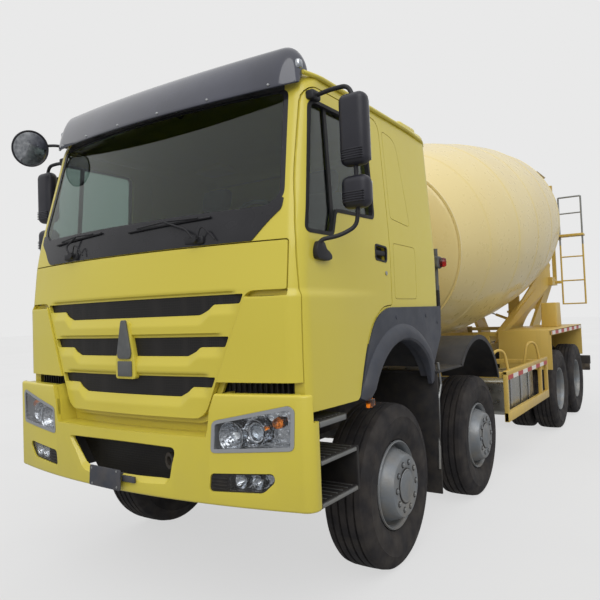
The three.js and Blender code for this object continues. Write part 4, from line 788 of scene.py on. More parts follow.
def lid_relief(x, z):
    """The bars below each band lean back at the top, so that their faces stand out lower down."""
    depth = np.zeros_like(x)
    for top, narrow, deep, end, step, foot in BANDS:
        shift = smooth_step(np.abs(x), foot, step)
        edge = deep + (narrow - deep) * shift
        lean = 0.055
        ramp = np.clip((z - (edge - lean)) / lean, 0, 1)
        above = np.clip((top + 0.02 - z) / 0.01, 0, 1)
        depth = np.maximum(depth, 0.020 * ramp * above * (1 - smooth_step(np.abs(x), end - 0.10, end - 0.03)))
    return depth


def cab_shell():
    shell = cab_body(proud=True)
    inner = cab_body(side=0.050, front=0.050, rear=0.045, top=0.045)
    cut(inner, block((-2, 2), (-1, 4), (1.0, 1.55)))
    holes = [
        block((-2, 2), (0.86, 3), (1.0, 1.50)), block((-2, 2), (0.33, 0.87), (1.0, 1.50)),
        block((-2, 2), (-1, 0.34), (1.0, 1.345)),
        prism_y(widened(LID_OUTLINE, PANEL_GAP), -1, 0.36), prism_y(SCREEN_OUTLINE, -1, 0.9),
    ]
    for side, _ in SIDES:
        holes.append(prism_x(widened(DOOR, PANEL_GAP), side * 1.0, side * 1.4))
        holes.append(block((side * 0.87, side * 1.107), (0.175, 0.265),
                           (1.800, 1.832)))  # the lid's wings dip here
    backing = front_skin(widened(LID_OUTLINE, 0.03), 0.042, 0.06, 0.05)
    cut(shell, inner, *holes)
    for side, _ in SIDES:
        for outline in (SLEEPER_PANEL, LOCKER):
            groove = prism_x(widened(outline, 0.004), side * 1.04, side * 1.3)
            keep = cut(prism_x(widened(outline, 0.006), side * 1.05, side * 1.31),
                       prism_x(outline, side * 1.0, side * 1.35))
            common(groove, keep)
            common(groove, side_skin(side, [(1.2, 1.7), (2.2, 1.7), (2.2, 3.0), (1.2, 3.0)], -0.01, 0.006,
                                     0.05))
            cut(shell, groove)
    return merge(shell, backing)


SLEEPER_PANEL = rounded([(1.440, 2.330), (1.765, 2.300), (1.650, 2.915), (1.440, 2.935)],
                        [0.03, 0.05, 0.12, 0.03])
LOCKER = rounded([(1.445, 1.780), (1.818, 1.780), (1.818, 2.148), (1.445, 2.155)], 0.03)


def build_cab():
    place(cab_shell(), "cab_skin", CAB_PAINT, "cab", ["cab_shell"])
    build_lid()
    build_screen()
    build_corner_ducts()
    build_roof()
    build_tilt_arms()


def build_lid():
    """The front lid with its bands of mesh, its boss and a blank badge."""
    lid = front_skin(LID_OUTLINE, 0.0, 0.030, 0.0085, lid_relief)
    cut(lid, *[prism_y(rounded(band_outline(b), 0.012), -1, 1) for b in BANDS])
    place(lid, "lid_skin", CAB_PAINT, "front_lid", ["front_lid"])
    boss = front_skin(rounded([(-0.035, 1.690), (0.035, 1.690), (0.085, 1.440), (0.085, 1.350),
                               (-0.085, 1.350),
                               (-0.085, 1.440)], 0.02), -0.008, 0.030, 0.02)
    place(soften(boss, 0.005, 2, 60), "lid_boss", CAB_PAINT, "front_lid")
    badge = front_skin(rounded([(-0.020, 1.700), (0.020, 1.700), (0.060, 1.500), (0.050, 1.470),
                                (-0.050, 1.470),
                                (-0.060, 1.500)], 0.014), -0.020, -0.006, 0.02)
    base = front_skin(rounded([(-0.060, 1.365), (0.060, 1.365), (0.060, 1.455), (-0.060, 1.455)], 0.006),
                      -0.016, -0.006, 0.02)
    place(soften(merge(badge, base), 0.004, 2, 60), "lid_badge", CASTING, "front_lid")
    for i, band in enumerate(BANDS):
        mesh = front_skin(band_outline(band, 0.012), 0.024, 0.034, 0.05)
        place(mesh, f"grille_{i + 1}", GRILLE, "front_lid")


def build_screen():
    """The windshield, its dark border and the cowl corners below it."""
    cowl = front_skin(rounded(mirrored([(0.895, 2.103), (0.985, 2.205), (1.055, 2.268), (1.060, 2.330),
                                        (1.015, 2.330),
                                        (0.95, 2.285)]), [0.01, 0.08, 0.02, 0.01, 0.01, 0.05] * 2), -0.004,
                      0.012)
    place(cowl, "cowl", GLOSS_BLACK, "cab")
    screen = front_skin(SCREEN_OUTLINE, 0.006, 0.012, 0.04)
    place(screen, "screen_glass", WINDOW, "cab", ["windshield"])
    inset = widened(SCREEN_OUTLINE, -0.030)
    frit = front_skin(SCREEN_OUTLINE, 0.0015, 0.0055, 0.03)
    cut(frit, prism_y(inset, -1, 2))
    place(frit, "screen_border", GLOSS_BLACK, "cab")


def build_corner_ducts():
    """The dark ribbed inlets between the lower corners and the bumper."""
    for side, label in SIDES:
        outline = [(side * 0.62, 1.20), (side * 1.10, 1.20), (side * 1.10, 1.36), (side * 0.66, 1.36)]
        back = front_skin(outline, 0.085, 0.095, 0.06)
        ribs = []
        for k in range(12):
            x = side * (0.70 + 0.033 * k)
            ribs.append(block((x - 0.004, x + 0.004), (0.235 + 0.05 * k / 12, 0.30 + 0.05 * k / 12),
                              (1.25, 1.35)))
        place(merge(back, *ribs), f"corner_duct_{label}", BLACK, "cab")


TILT_ARM_X = (0.299, 0.333)
TILT_ARM_Y = (0.262, 0.336)
TILT_ARM_Z = (0.680, 1.515)


def build_tilt_arms():
    """The two arms that carry the cab on its tilt pivot."""
    arms = [block(tuple(sorted(side * x for x in TILT_ARM_X)), TILT_ARM_Y, TILT_ARM_Z) for side, _ in SIDES]
    place(merge(*arms), "tilt_arms", CHASSIS_PAINT, "cab")


def build_roof():
    for side, label in SIDES:
        line = [(side * 1.085, 0.50, 3.068), (side * 1.122, 0.62, 3.062), (side * 1.122, 1.9, 3.050),
                (side * 1.118, 2.18, 3.030), (side * 1.090, 2.262, 3.010)]
        rail = tube(line, 0.014, 0.08)
        place(rail, f"drip_rail_{label}", CAB_PAINT, "cab")
        hump = block((side * 0.70, side * 1.085), (1.86, 2.16), (3.06, 3.135), 0.035, 4)
        place(hump, f"roof_hump_{label}", CAB_PAINT, "cab")


# ------------------------------------------------------------------ doors and mirrors


def build_door(side, label):
    body = f"door_{label}"
    panel = side_skin(side, DOOR, 0.0, 0.05, 0.014, proud=True)
    cut(panel, prism_x(WINDOW_OUTLINE, side * 0.9, side * 1.4))
    handle_hole = rounded([(1.165, 2.035), (1.325, 2.025), (1.335, 2.118), (1.170, 2.128)], 0.02)
    cut(panel, prism_x(handle_hole, side * 1.13, side * 1.4))
    place(panel, f"door_skin_{label}", CAB_PAINT, body, [body])
    pane = side_skin(side, WINDOW_OUTLINE, 0.024, 0.030, 0.04)
    place(pane, f"door_pane_{label}", WINDOW, body, [f"door_glass_{label}"])
    seal = side_skin(side, widened(WINDOW_OUTLINE, 0.010), -0.003, 0.024, 0.03)
    cut(seal, prism_x(widened(WINDOW_OUTLINE, -0.012), side * 0.9, side * 1.4))
    divider = side_skin(side, [(0.640, 2.15), (0.672, 2.15), (0.700, 2.90), (0.668, 2.90)], 0.012, 0.023,
                        0.04)
    place(merge(seal, divider), f"window_seal_{label}", SEAL, body)
    build_door_handle(side, label, handle_hole)
    lock = disc((side * (CAB_HALF - 0.004), 1.313, 1.948), (side, 0, 0), 0.014, 0.009, 20)
    place(lock, f"door_lock_{label}", STEEL, body)
    build_mirror(side, label)


def build_door_handle(side, label, handle_hole):
    """The grip in its well, with a lip round the hole in the door."""
    x0 = CAB_HALF
    well = prism_x(widened(handle_hole, 0.001), side * (x0 - 0.052), side * (x0 - 0.036))
    lip = side_skin(side, widened(handle_hole, 0.008), -0.003, 0.012, 0.03)
    cut(lip, prism_x(widened(handle_hole, -0.004), side * 0.9, side * 1.4))
    grip = block((side * (x0 - 0.016), side * (x0 - 0.002)), (1.185, 1.315), (2.062, 2.094), 0.005)
    stem = block((side * (x0 - 0.04), side * (x0 - 0.006)), (1.188, 1.206), (2.066, 2.090))
    place(merge(well, lip, grip, stem), f"door_handle_{label}", BLACK, f"door_{label}")


MIRROR_FRONT, MIRROR_REAR = 0.500, 0.602
MIRROR_INNER, MIRROR_OUTER = 1.290, 1.456
UPPER_MIRROR, LOWER_MIRROR = (2.490, 2.890), (2.258, 2.438)


def housing(side, z0, z1):
    """A softly rounded mirror housing with a ribbed foot on its front."""
    shell = block((side * MIRROR_INNER, side * MIRROR_OUTER), (MIRROR_FRONT, MIRROR_REAR), (z0, z1), 0.044, 5)
    ribs = []
    for k in range(5):
        z = z0 + 0.030 + k * 0.013
        across = (side * (MIRROR_INNER + 0.018), side * (MIRROR_OUTER - 0.018))
        ribs.append(block(across, (MIRROR_FRONT - 0.003, MIRROR_FRONT + 0.05), (z, z + 0.006), 0.002, 1))
    return merge(shell, *ribs)


def build_mirror(side, label):
    body = f"door_{label}"
    shells = merge(housing(side, *UPPER_MIRROR), housing(side, *LOWER_MIRROR))
    place(shells, f"mirror_shell_{label}", MIRROR_BLACK, body, [f"mirror_{label}"])
    across = (side * (MIRROR_INNER + 0.014), side * (MIRROR_OUTER - 0.014))
    glasses = [block(across, (MIRROR_REAR - 0.003, MIRROR_REAR + 0.004), (z0 + 0.03, z1 - 0.03), 0.003)
               for z0, z1 in (UPPER_MIRROR, LOWER_MIRROR)]
    place(merge(*glasses), f"mirror_glass_{label}", CHROME, body)
    mid, y = side * (MIRROR_INNER + MIRROR_OUTER) / 2, (MIRROR_FRONT + MIRROR_REAR) / 2
    main = tube([(side * 1.125, 0.550, 2.930), (side * 1.230, 0.552, 2.945), (mid - side * 0.03, y, 2.942),
                 (mid, y, 2.870)], 0.013, 0.05)
    drop = tube([(mid, y, 2.87), (mid, y, 2.23)], 0.013, 0.05)
    low = tube([(mid, y, 2.24), (mid - side * 0.01, y, 2.165), (side * 1.29, 0.50, 2.115),
                (side * 1.20, 0.455, 2.100),
                (side * 1.18, 0.44, 2.07)], 0.012, 0.05)
    top_foot = block((side * 1.095, side * 1.150), (0.500, 0.590), (2.905, 2.960), 0.012, 3)
    foot_line = rounded([(0.405, 1.995), (0.520, 1.985), (0.560, 1.998), (0.562, 2.018), (0.535, 2.040),
                         (0.505, 2.050),
                         (0.485, 2.090), (0.425, 2.092), (0.400, 2.040)], 0.02)
    foot = soften(prism_x(foot_line, side * 1.162, side * 1.200), 0.008, 2, 60)
    place(merge(main, drop, low, top_foot, foot), f"mirror_arm_{label}", BLACK, body)


def build_kerb_mirror():
    centre, direction = Vector((-1.214, 0.300, 3.008)), Vector((0.93, -0.25, -0.25)).normalized()
    back = [(0.0, -0.034), (0.06, -0.030), (0.10, -0.020), (0.125, -0.006), (0.134, 0.004), (0.134, 0.013),
            (0.127, 0.015),
            (0.122, 0.012), (0.120, 0.006), (0.0, 0.006)]
    shell = lathe(back, centre, direction, 48)
    arm_line = [(-0.018, 0.010, 0.006), (-0.020, 0.110, 0.044), (0.024, 0.200, 0.062), (0.064, 0.262, 0.054),
                (0.108, 0.290, 0.040), (0.150, 0.305, 0.035)]
    arm = tube([centre + Vector(p) for p in arm_line], 0.011, 0.05)
    place(merge(shell, arm), "kerb_mirror_shell", MIRROR_BLACK, "cab", ["kerb_mirror"])
    face = lathe([(0.0, 0.014), (0.07, 0.012), (0.120, 0.007), (0.120, 0.004), (0.0, 0.004)], centre,
                 direction, 48)
    place(face, "kerb_mirror_glass", CHROME, "cab")


# ------------------------------------------------------------------ visor and wipers


VISOR_HALF = 1.080


def visor_section(x):
    """The visor's section at one station: a nearly flat face from its low edge, rolled back at the top."""
    back = bow(x)
    end = np.clip((abs(x) - 0.955) / (VISOR_HALF - 0.955), 0, 1)
    drop = 1 - math.sqrt(max(0.0, 1 - end ** 2.2))
    low = np.array([0.238 + 1.6 * back + 0.04 * drop, 2.938 + 0.42 * back + 0.02 * drop])
    high = np.array([0.410 + back + 0.03 * drop, 3.212 + 0.30 * back - 0.15 * drop])
    chord = high - low
    normal = np.array([-chord[1], chord[0]]) / np.linalg.norm(chord)
    rise = np.linspace(0, 1, 17)
    bulge = 0.075 * (1 - 0.5 * drop) * rise * (1 - rise) ** 0.6
    return [low + chord * t + normal * out for t, out in zip(rise, bulge)], normal


def build_visor():
    sweep = np.sin(np.linspace(-math.pi / 2, math.pi / 2, 71))
    outer, inner = [], []
    for x in VISOR_HALF * sweep:
        line, normal = visor_section(x)
        outer.append([(x, y, z) for y, z in line])
        inner.append([(x, y - normal[0] * 0.010, z - normal[1] * 0.010) for y, z in line])
    sheet = slab(np.array(outer), np.array(inner))
    place(soften(sheet, 0.003, 2, 60), "visor_sheet", VISOR, "cab", ["sun_visor"])
    studs = []
    for x in (-0.93, -0.55, -0.18, 0.18, 0.55, 0.93):
        line, _ = visor_section(x)
        y, z = line[1]
        studs.append(lathe([(0, 0.009), (0.006, 0.007), (0.009, 0.0), (0, 0.0)], (x, y, z), (0, -1, 0.4), 14))
    place(merge(*studs), "visor_screws", STEEL, "cab")
    for side, label in SIDES:
        cap = block((side * 1.045, side * 1.085), (0.470, 0.520), (3.085, 3.145), 0.018, 3)
        place(cap, f"visor_end_{label}", CHROME, "cab")
    brackets = [block((x - 0.015, x + 0.015), (0.40, 0.66), (3.065, 3.110), 0.004)
                for x in (-0.70, 0.0, 0.70)]
    header = front_skin(rounded(mirrored([(0.985, 2.975), (0.965, 3.040)]), 0.012), -0.002, 0.004, 0.04)
    place(merge(header, *brackets), "visor_brackets", BLACK, "cab")


def build_wipers():
    parts = []
    for pivot_x, ends in ((0.545, (0.000, 0.625)), (-0.560, (-0.800, -0.270))):
        def front(x, z, out):
            return (x, float(front_y(x, z)) - out, z)
        middle = sum(ends) / 2
        hub = disc(front(pivot_x, 2.137, 0.0), (0, -1, 0.1), 0.021, 0.040, 20)
        arm = tube([front(pivot_x, 2.137, 0.034), front(pivot_x - 0.05, 2.20, 0.050),
                    front(middle, 2.262, 0.030)], 0.006, 0.03)
        link = tube([front(pivot_x + 0.02, 2.140, 0.03), front(pivot_x + 0.05, 2.22, 0.05),
                     front(pivot_x + 0.13, 2.13, 0.02)],
                    0.004, 0.05)
        z0, z1 = 2.236, 2.262
        steps = 8
        blade = tube([front(ends[0] + (ends[1] - ends[0]) * k / steps, z0 + (z1 - z0) * k / steps, 0.012)
                      for k in range(steps + 1)], 0.007, 0.02)
        spine = tube([front(ends[0] + 0.08, 2.250, 0.022), front(middle, 2.266, 0.030),
                      front(ends[1] - 0.08, 2.264, 0.022)],
                     0.005, 0.05)
        mount = block((pivot_x - 0.09, pivot_x + 0.05), (float(front_y(pivot_x, 2.13)) - 0.018, 0.3),
                      (2.112, 2.158), 0.012, 3)
        parts += [hub, arm, link, blade, spine, mount]
    place(merge(*parts), "wipers", BLACK, "cab")


# ------------------------------------------------------------------ bumper and lamps

BUMPER_HALF = 1.242
BUMPER_LOW, BUMPER_HIGH = 0.700, 1.290


def bumper_y(x):
    flat = BUMPER_HALF - 0.070
    over = np.clip(np.abs(x) - flat, 0, 0.0695)
    return 0.046 + 0.104 * np.minimum(np.abs(x),
                                      flat) ** 2 + (0.078 - np.sqrt(0.078 ** 2 - (over * 1.1) ** 2))


def bumper_skin(outline, near, far, step=0.02):
    xs, zs = zip(*outline)
    x, z = np.meshgrid(grid_axis(xs, step, 0.003), grid_axis(zs, math.inf, 0.003))
    y = bumper_y(x)
    return common(slab(np.stack([x, y + near, z], -1), np.stack([x, y + far, z], -1)),
                  prism_y(outline, -1, 2))


def bumper_plan(inset):
    half = BUMPER_HALF - inset
    xs = np.concatenate([np.linspace(0, 1.17, 26),
                         BUMPER_HALF - 0.070 + 0.0695 * np.sin(np.linspace(0, 1.57, 9))[1:]])
    line = [(min(float(x), half), float(bumper_y(x)) + inset) for x in xs]
    line.append((half, 0.292))
    return line + [(-x, y) for x, y in reversed(line[1:])]


# the headlamp's bowls: across, up, radius, depth, radius of the bulb lens and of the ring
HEADLAMP_BOWLS = ((0.790, 1.062, 0.078, 0.07, 0.020, 0.083), (0.925, 1.090, 0.066, 0.06, 0.042, 0.052))
HEADLAMP = [(0.672, 0.975), (0.685, 1.145), (1.130, 1.238), (1.160, 1.215), (1.150, 1.010)]
FOGLAMP = [(0.655, 0.772), (0.668, 0.868), (1.035, 0.890), (1.045, 0.850), (0.975, 0.786)]
INTAKE = [(-0.335, 0.812), (0.392, 0.805), (0.430, 0.980), (-0.495, 0.980)]
INTAKE_LIP = [(-0.375, 0.742), (0.372, 0.742), (0.462, 1.005), (-0.575, 1.005)]


def sided(outline, side):
    return [(side * x, z) for x, z in outline]


def build_bumper():
    shell = soften(prism_z(bumper_plan(0.0), BUMPER_LOW, BUMPER_HIGH), 0.014, 3, 60)
    tools = [
        prism_z([(x, 0.5 if y > 0.285 else y) for x, y in bumper_plan(0.030)], BUMPER_LOW - 0.02,
                BUMPER_HIGH + 0.02),
        prism_y(mirrored([(0.640, 1.055), (0.655, 1.10), (0.668, 1.20), (0.715, 1.32), (0.60, 1.40)]), -0.2,
                0.5),
    ]
    for side, _ in SIDES:
        tools.append(block((side * 1.0, side * 1.4), (0.238, 0.5), (1.148, 1.4)))
        tools.append(prism_y(rounded(sided(HEADLAMP, side), 0.03), -0.2, 0.5))
        tools.append(prism_y(rounded(sided(FOGLAMP, side), 0.025), -0.2, 0.5))
    tools.append(taper_y(rounded(INTAKE_LIP, 0.05), 0.02, rounded(INTAKE, 0.04), 0.085))
    tools.append(prism_y(rounded(INTAKE, 0.04), -0.2, 0.3))
    cut(shell, *tools)
    shelf = bumper_skin(mirrored([(0.640, 1.028), (0.640, 1.056)]), 0.010, 0.165, 0.03)
    returns = [bumper_skin(mirrored([(0.650, 1.030), (0.660, 1.132)]), 0.150, 0.160, 0.03)]
    for side, _ in SIDES:
        wall = [(side * 0.640, 1.03), (side * 0.655, 1.10), (side * 0.668, 1.20), (side * 0.712, 1.288),
                (side * 0.735, 1.288), (side * 0.690, 1.20), (side * 0.677, 1.10), (side * 0.664, 1.03)]
        returns.append(bumper_skin(wall, 0.012, 0.15, 0.01))
        top = [(side * 0.712, 1.272), (side * 1.15, 1.272), (side * 1.15, 1.288), (side * 0.712, 1.288)]
        returns.append(bumper_skin(top, 0.014, 0.075, 0.03))
    place(merge(shell, shelf, *returns), "bumper_skin", CAB_PAINT, "cab", ["front_bumper"])
    back = bumper_skin(widened(INTAKE, 0.06), 0.13, 0.14, 0.05)
    place(back, "intake_mesh", GRILLE, "cab")
    eye = lathe([(0.026, -0.014), (0.046, -0.014), (0.046, 0.014), (0.026, 0.014)], (0.355, 0.115, 0.90),
                (0.3, 1, 0), 32, closed=True)
    place(eye, "tow_eye", CHASSIS_PAINT, "cab")
    build_plate_carrier()
    for side, label in SIDES:
        build_headlamp(side, label)
        build_foglamp(side, label)


def build_plate_carrier():
    """The blank number plate on its bracket."""
    plate = soften(prism_y(rounded([(-0.228, 0.722), (0.045, 0.715), (0.052, 0.835), (-0.218, 0.842)], 0.012),
                           0.004, 0.014), 0.003)
    bracket = block((-0.14, 0.0), (0.012, 0.09), (0.722, 0.80), 0.006)
    wing = block((0.03, 0.14), (0.03, 0.045), (0.765, 0.80), 0.003)
    place(merge(plate, bracket, wing), "plate_carrier", ARCH_GREY, "cab")
    bolts = [disc((x, 0.006, z), (0, -1, 0), 0.007, 0.004, 12) for x in (-0.20, 0.02) for z in (0.735, 0.825)]
    place(merge(*bolts), "plate_bolts", STEEL, "cab")


def build_headlamp(side, label):
    outline = rounded(sided(HEADLAMP, side), 0.03)
    bezel = bumper_skin(widened(outline, -0.0005), -0.003, 0.10)
    cut(bezel, prism_y(widened(outline, -0.020), -1, 2))
    place(bezel, f"headlamp_bezel_{label}", SILVER, "cab")
    back = bumper_skin(widened(outline, -0.006), 0.085, 0.095)
    step = bumper_skin(widened(sided([(0.665, 0.97), (0.67, 1.015), (1.16, 1.05), (1.15, 1.0)], side), 0.0),
                       0.05, 0.086)
    common(step, prism_y(widened(outline, -0.014), -1, 2))
    bowls = []
    for x, z, radius, deep, _, _ in HEADLAMP_BOWLS:
        y = float(bumper_y(x)) + 0.080
        bowl = [(radius * t, -deep * t * t) for t in np.linspace(0, 1, 9)]
        bowls.append(lathe([*bowl, (radius + 0.004, -deep), (radius + 0.004, 0.004), (0, 0.004)],
                           (side * x, y, z), (0, 1, 0), 40))
    place(merge(back, step, *bowls), f"headlamp_reflector_{label}", REFLECTOR, "cab")
    bulbs = []
    for x, z, _, _, radius, _ in HEADLAMP_BOWLS:
        y = float(bumper_y(x)) + 0.046
        bulbs.append(lathe([(0, -0.018), (radius * 0.6, -0.014), (radius, 0), (radius, 0.02), (0, 0.02)],
                           (side * x, y, z), (0, 1, 0), 28))
    place(merge(*bulbs), f"headlamp_lens_{label}", LAMP_CLEAR, "cab")
    rings = [lathe([(r - 0.007, -0.004), (r, -0.006), (r, 0.01), (r - 0.007, 0.01)],
                   (side * x, float(bumper_y(x)) + 0.04, z),
                   (0, 1, 0), 36, closed=True) for x, z, _, _, _, r in reversed(HEADLAMP_BOWLS)]
    place(merge(*rings), f"headlamp_rings_{label}", CHROME, "cab")
    y = float(bumper_y(1.035)) + 0.05
    amber = lathe([(0, -0.03), (0.014, -0.027), (0.026, -0.012), (0.030, 0.01), (0, 0.01)],
                  (side * 1.035, y, 1.138), (0, 1, 0), 24)
    place(amber, f"indicator_bulb_{label}", LAMP_AMBER, "cab")
    cover = bumper_skin(widened(outline, -0.013), 0.003, 0.007)
    place(cover, f"headlamp_cover_{label}", LAMP_COVER, "cab")


def build_foglamp(side, label):
    outline = rounded(sided(FOGLAMP, side), 0.025)
    split = side * 0.775
    bezel = bumper_skin(outline, 0.010, 0.075)
    keep = bumper_skin(widened(outline, -0.008), -0.1, 0.06)
    common(keep, block((split, side * 1.2), (-1, 2), (0.6, 1.0)))
    cut(bezel, keep)
    ribs = [bumper_skin([(side * 0.670, z), (side * 0.768, z), (side * 0.768, z + 0.006),
                         (side * 0.670, z + 0.006)], 0.002, 0.02)
            for z in (0.788, 0.806, 0.824, 0.842)]
    place(merge(bezel, *ribs), f"fog_bezel_{label}", BLACK, "cab")
    bowls = [bumper_skin(widened(outline, -0.006), 0.058, 0.066)]
    for x, radius in ((0.840, 0.036), (0.935, 0.034)):
        bowl = [(radius * t, -0.035 * t * t) for t in np.linspace(0, 1, 7)]
        bowls.append(lathe([*bowl, (radius + 0.003, -0.035), (radius + 0.003, 0.004), (0, 0.004)],
                           (side * x, float(bumper_y(x)) + 0.055, 0.835), (0, 1, 0), 32))
    place(merge(*bowls), f"fog_reflector_{label}", REFLECTOR, "cab")
    cover = bumper_skin(widened(outline, -0.009), 0.012, 0.016)
    common(cover, block((split + side * 0.002, side * 1.2), (-1, 2), (0.6, 1.0)))
    place(cover, f"fog_cover_{label}", LAMP_COVER, "cab")


# ------------------------------------------------------------------ arch plastics and steps


def arc(cy, cz, radius, start, end, steps):
    return [(cy + radius * math.cos(math.radians(a)), cz + radius * math.sin(math.radians(a)))
            for a in np.linspace(start, end, steps)]


ARCH_CENTRE = (1.500, 0.930)
ARCH_LIP = ((0.562, 0.0), (0.568, 0.026), (0.582, 0.040), (0.610, 0.044), (0.640, 0.038), (0.665, 0.020),
            (0.680, 0.0))  # radius, and how far it stands out


def build_arch(side, label):
    """The dark flare over the first wheel: a flat panel with a swept lip round the wheel."""
    cy, cz = ARCH_CENTRE
    inner = [p for p in arc(cy, cz, 0.570, 28, 152, 40) if p[0] > 1.0]
    panel_line = [(2.245, 1.494), (2.262, 1.700),
                  *rounded([(2.262, 1.722), (1.300, 1.722), (1.120, 1.660), (1.000, 1.500),
                  (0.874, 1.178), (1.000, 1.190)], [0.0, 0.06, 0.10, 0.10, 0.0, 0.0]), *reversed(inner)]
    panel = prism_x(panel_line, side * 1.100, side * 1.184)
    lip_out, lip_in = [], []
    for a in np.linspace(22, 158, 50):
        ring_out, ring_in = [], []
        fade = min(1.0, (a - 20) / 26, (160 - a) / 10)
        for r, out in ARCH_LIP:
            y = cy + r * math.cos(math.radians(a))
            z = cz + r * math.sin(math.radians(a))
            ring_out.append((side * (1.180 + out * fade), y, z))
            ring_in.append((side * 1.150, y, z))
        lip_out.append(ring_out)
        lip_in.append(ring_in)
    lip = slab(np.array(lip_out), np.array(lip_in))
    screws = [disc((side * 1.184, y, z), (side, 0, 0), 0.014, 0.004, 16) for y,
              z in ((1.42, 1.655), (1.95, 1.655), (2.18, 1.60))]
    place(merge(panel, lip, *screws), f"arch_flare_{label}", ARCH_GREY, "cab")
    liner_out = np.array([[(side * x, cy + 0.60 * math.cos(a), cz + 0.58 * math.sin(a))
                           for x in np.linspace(0.76, 1.15, 6)]
                          for a in np.radians(np.linspace(36, 118, 28))])
    liner_in = liner_out + np.array([0, 0, 0.008])
    place(slab(liner_out, liner_in), f"arch_liner_{label}", BLACK, "cab")
    marker = block((side * 1.176, side * 1.204), (0.930, 1.012), (1.118, 1.172), 0.010, 3)
    place(marker, f"side_marker_{label}", LAMP_AMBER, "cab")


def build_steps(side, label):
    parts, edges = [], []
    low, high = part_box(f"step_box_{label}")
    front, rear = low.y - NOSE, high.y - NOSE
    parts.append(block(pair(side, 0.820, 0.850), (front, rear), (0.690, 1.136), 0.006))
    for z0, z1, back in ((0.680, 0.712, rear), (0.900, 0.932, rear), (1.096, 1.136, rear - 0.11)):
        parts.append(block(pair(side, 0.822, 1.200), (front + 0.004, back - 0.004), (z0, z1), 0.008, 3))
        edges.append(block(pair(side, 1.192, 1.207), (front + 0.03, back - 0.03), (z0 + 0.006, z1 - 0.004),
                           0.005))
        for k in range(7):
            y = front + 0.05 + k * (back - front - 0.10) / 6
            edges.append(block(pair(side, 0.90, 1.180), (y - 0.004, y + 0.004), (z1, z1 + 0.003), 0.001, 1))
    for y0, y1, top in ((front, front + 0.024, 1.136), (rear - 0.024, rear, 0.932)):
        parts.append(block(pair(side, 0.822, 1.204), (y0, y1), (0.682, top), 0.006))
    parts.append(block(pair(side, RAIL_FACE + 0.0005, 0.83), (0.52, 0.60), (0.83, 0.96), 0.01))
    place(merge(*parts), f"step_skin_{label}", STEP_BLACK, "chassis", [f"step_box_{label}"])
    place(merge(*edges), f"step_edges_{label}", GALVANISED, "chassis")


# ------------------------------------------------------------------ wheels


def tyre_profile(centre):
    """Tyre cross-section, from its outboard bead round the tread to its inboard bead."""
    half = 0.156
    side = [(0.290, 0.112), (0.300, 0.124), (0.312, 0.126), (0.335, 0.141), (0.372, 0.153), (0.405, half),
            (0.440, 0.1545),
            (0.447, 0.157), (0.452, 0.1535), (0.478, 0.148), (0.505, 0.140), (0.518, 0.131), (0.529, 0.118)]
    tread = []
    grooves = (-0.078, -0.027, 0.027, 0.078)
    for g in reversed(grooves):
        crown = 0.5375 - 0.35 * g * g
        tread += [(crown, g + 0.008), (crown - 0.014, g + 0.005), (crown - 0.014, g - 0.005),
                  (crown, g - 0.008)]
    inner = [(r, -s) for r, s in reversed(side)]
    return [(r, s + centre) for r, s in side + tread + inner]


def build_tyre(name, body, place_at, side, centres, slot_nodes):
    tyres = []
    for centre in centres:
        profile = tyre_profile(centre)
        tyres.append(lathe(profile, place_at, (side, 0, 0), 96, closed=True))
    place(merge(*tyres), name, RUBBER, body, slot_nodes, sharp=28)


def radial(origin, side, radius, angle, s):
    return Vector(origin) + Vector((side * s, radius * math.cos(angle), radius * math.sin(angle)))


def build_front_wheel(side, label, number, y):
    body = f"wheel_{number}_{label}"
    origin = Vector((side * FRONT_WHEEL_X, y, WHEEL_R))
    build_tyre(f"tyre_{number}_{label}", body, origin, side, [0.0], [body])
    rim = [(0.290, 0.122), (0.286, 0.131), (0.280, 0.133), (0.276, 0.126), (0.268, 0.118), (0.262, 0.100),
           (0.262, 0.070),
           (0.256, 0.060), (0.250, 0.066), (0.240, 0.090), (0.214, 0.158), (0.203, 0.182), (0.197, 0.190),
           (0.188, 0.193),
           (0.125, 0.194), (0.118, 0.190), (0.0, 0.190), (0.0, 0.180), (0.180, 0.180), (0.190, 0.174),
           (0.200, 0.150),
           (0.228, 0.078), (0.240, 0.050), (0.262, 0.040), (0.262, -0.118), (0.290, -0.122), (0.296, -0.105),
           (0.270, -0.090),
           (0.270, 0.095)]
    wheel = lathe(rim, origin, (side, 0, 0), 80)
    holes = []
    for a in angles(WHEEL_BOLTS, 0.5):
        centre = radial(origin, side, 0.220, a, 0.135)
        outward = Vector((side * 0.9, math.cos(a), math.sin(a))).normalized()
        holes.append(disc(centre - outward * 0.05, outward, 0.026, 0.1, 20))
    cut(wheel, *holes)
    place(wheel, f"rim_{number}_{label}", RIM_PAINT, body)
    seats = [disc(radial(origin, side, 0.152, a, 0.1935), (side, 0, 0), 0.0205, 0.0015, 20)
             for a in angles(WHEEL_BOLTS)]
    joint = lathe([(0.108, 0.190), (0.113, 0.190), (0.113, 0.1955), (0.108, 0.1955)], origin, (side, 0, 0),
                  48, closed=True)
    place(merge(joint, *seats), f"nut_seats_{number}_{label}", BLACK, body)
    nuts = []
    for a in angles(WHEEL_BOLTS):
        c = radial(origin, side, 0.152, a, 0.194)
        nuts.append(lathe([(0.0, 0.0), (0.0145, 0.0), (0.0145, 0.008), (0.010, 0.012), (0.0, 0.012)], c,
                          (side, 0, 0), 6))
    cap = [(0.108, 0.188), (0.108, 0.197), (0.104, 0.201), (0.096, 0.199), (0.090, 0.200), (0.075, 0.205),
           (0.040, 0.2065),
           (0.0, 0.207), (0.0, 0.188)]
    place(merge(lathe(cap, origin, (side, 0, 0), 56), *nuts), f"hub_cap_{number}_{label}", RIM_PAINT, body)


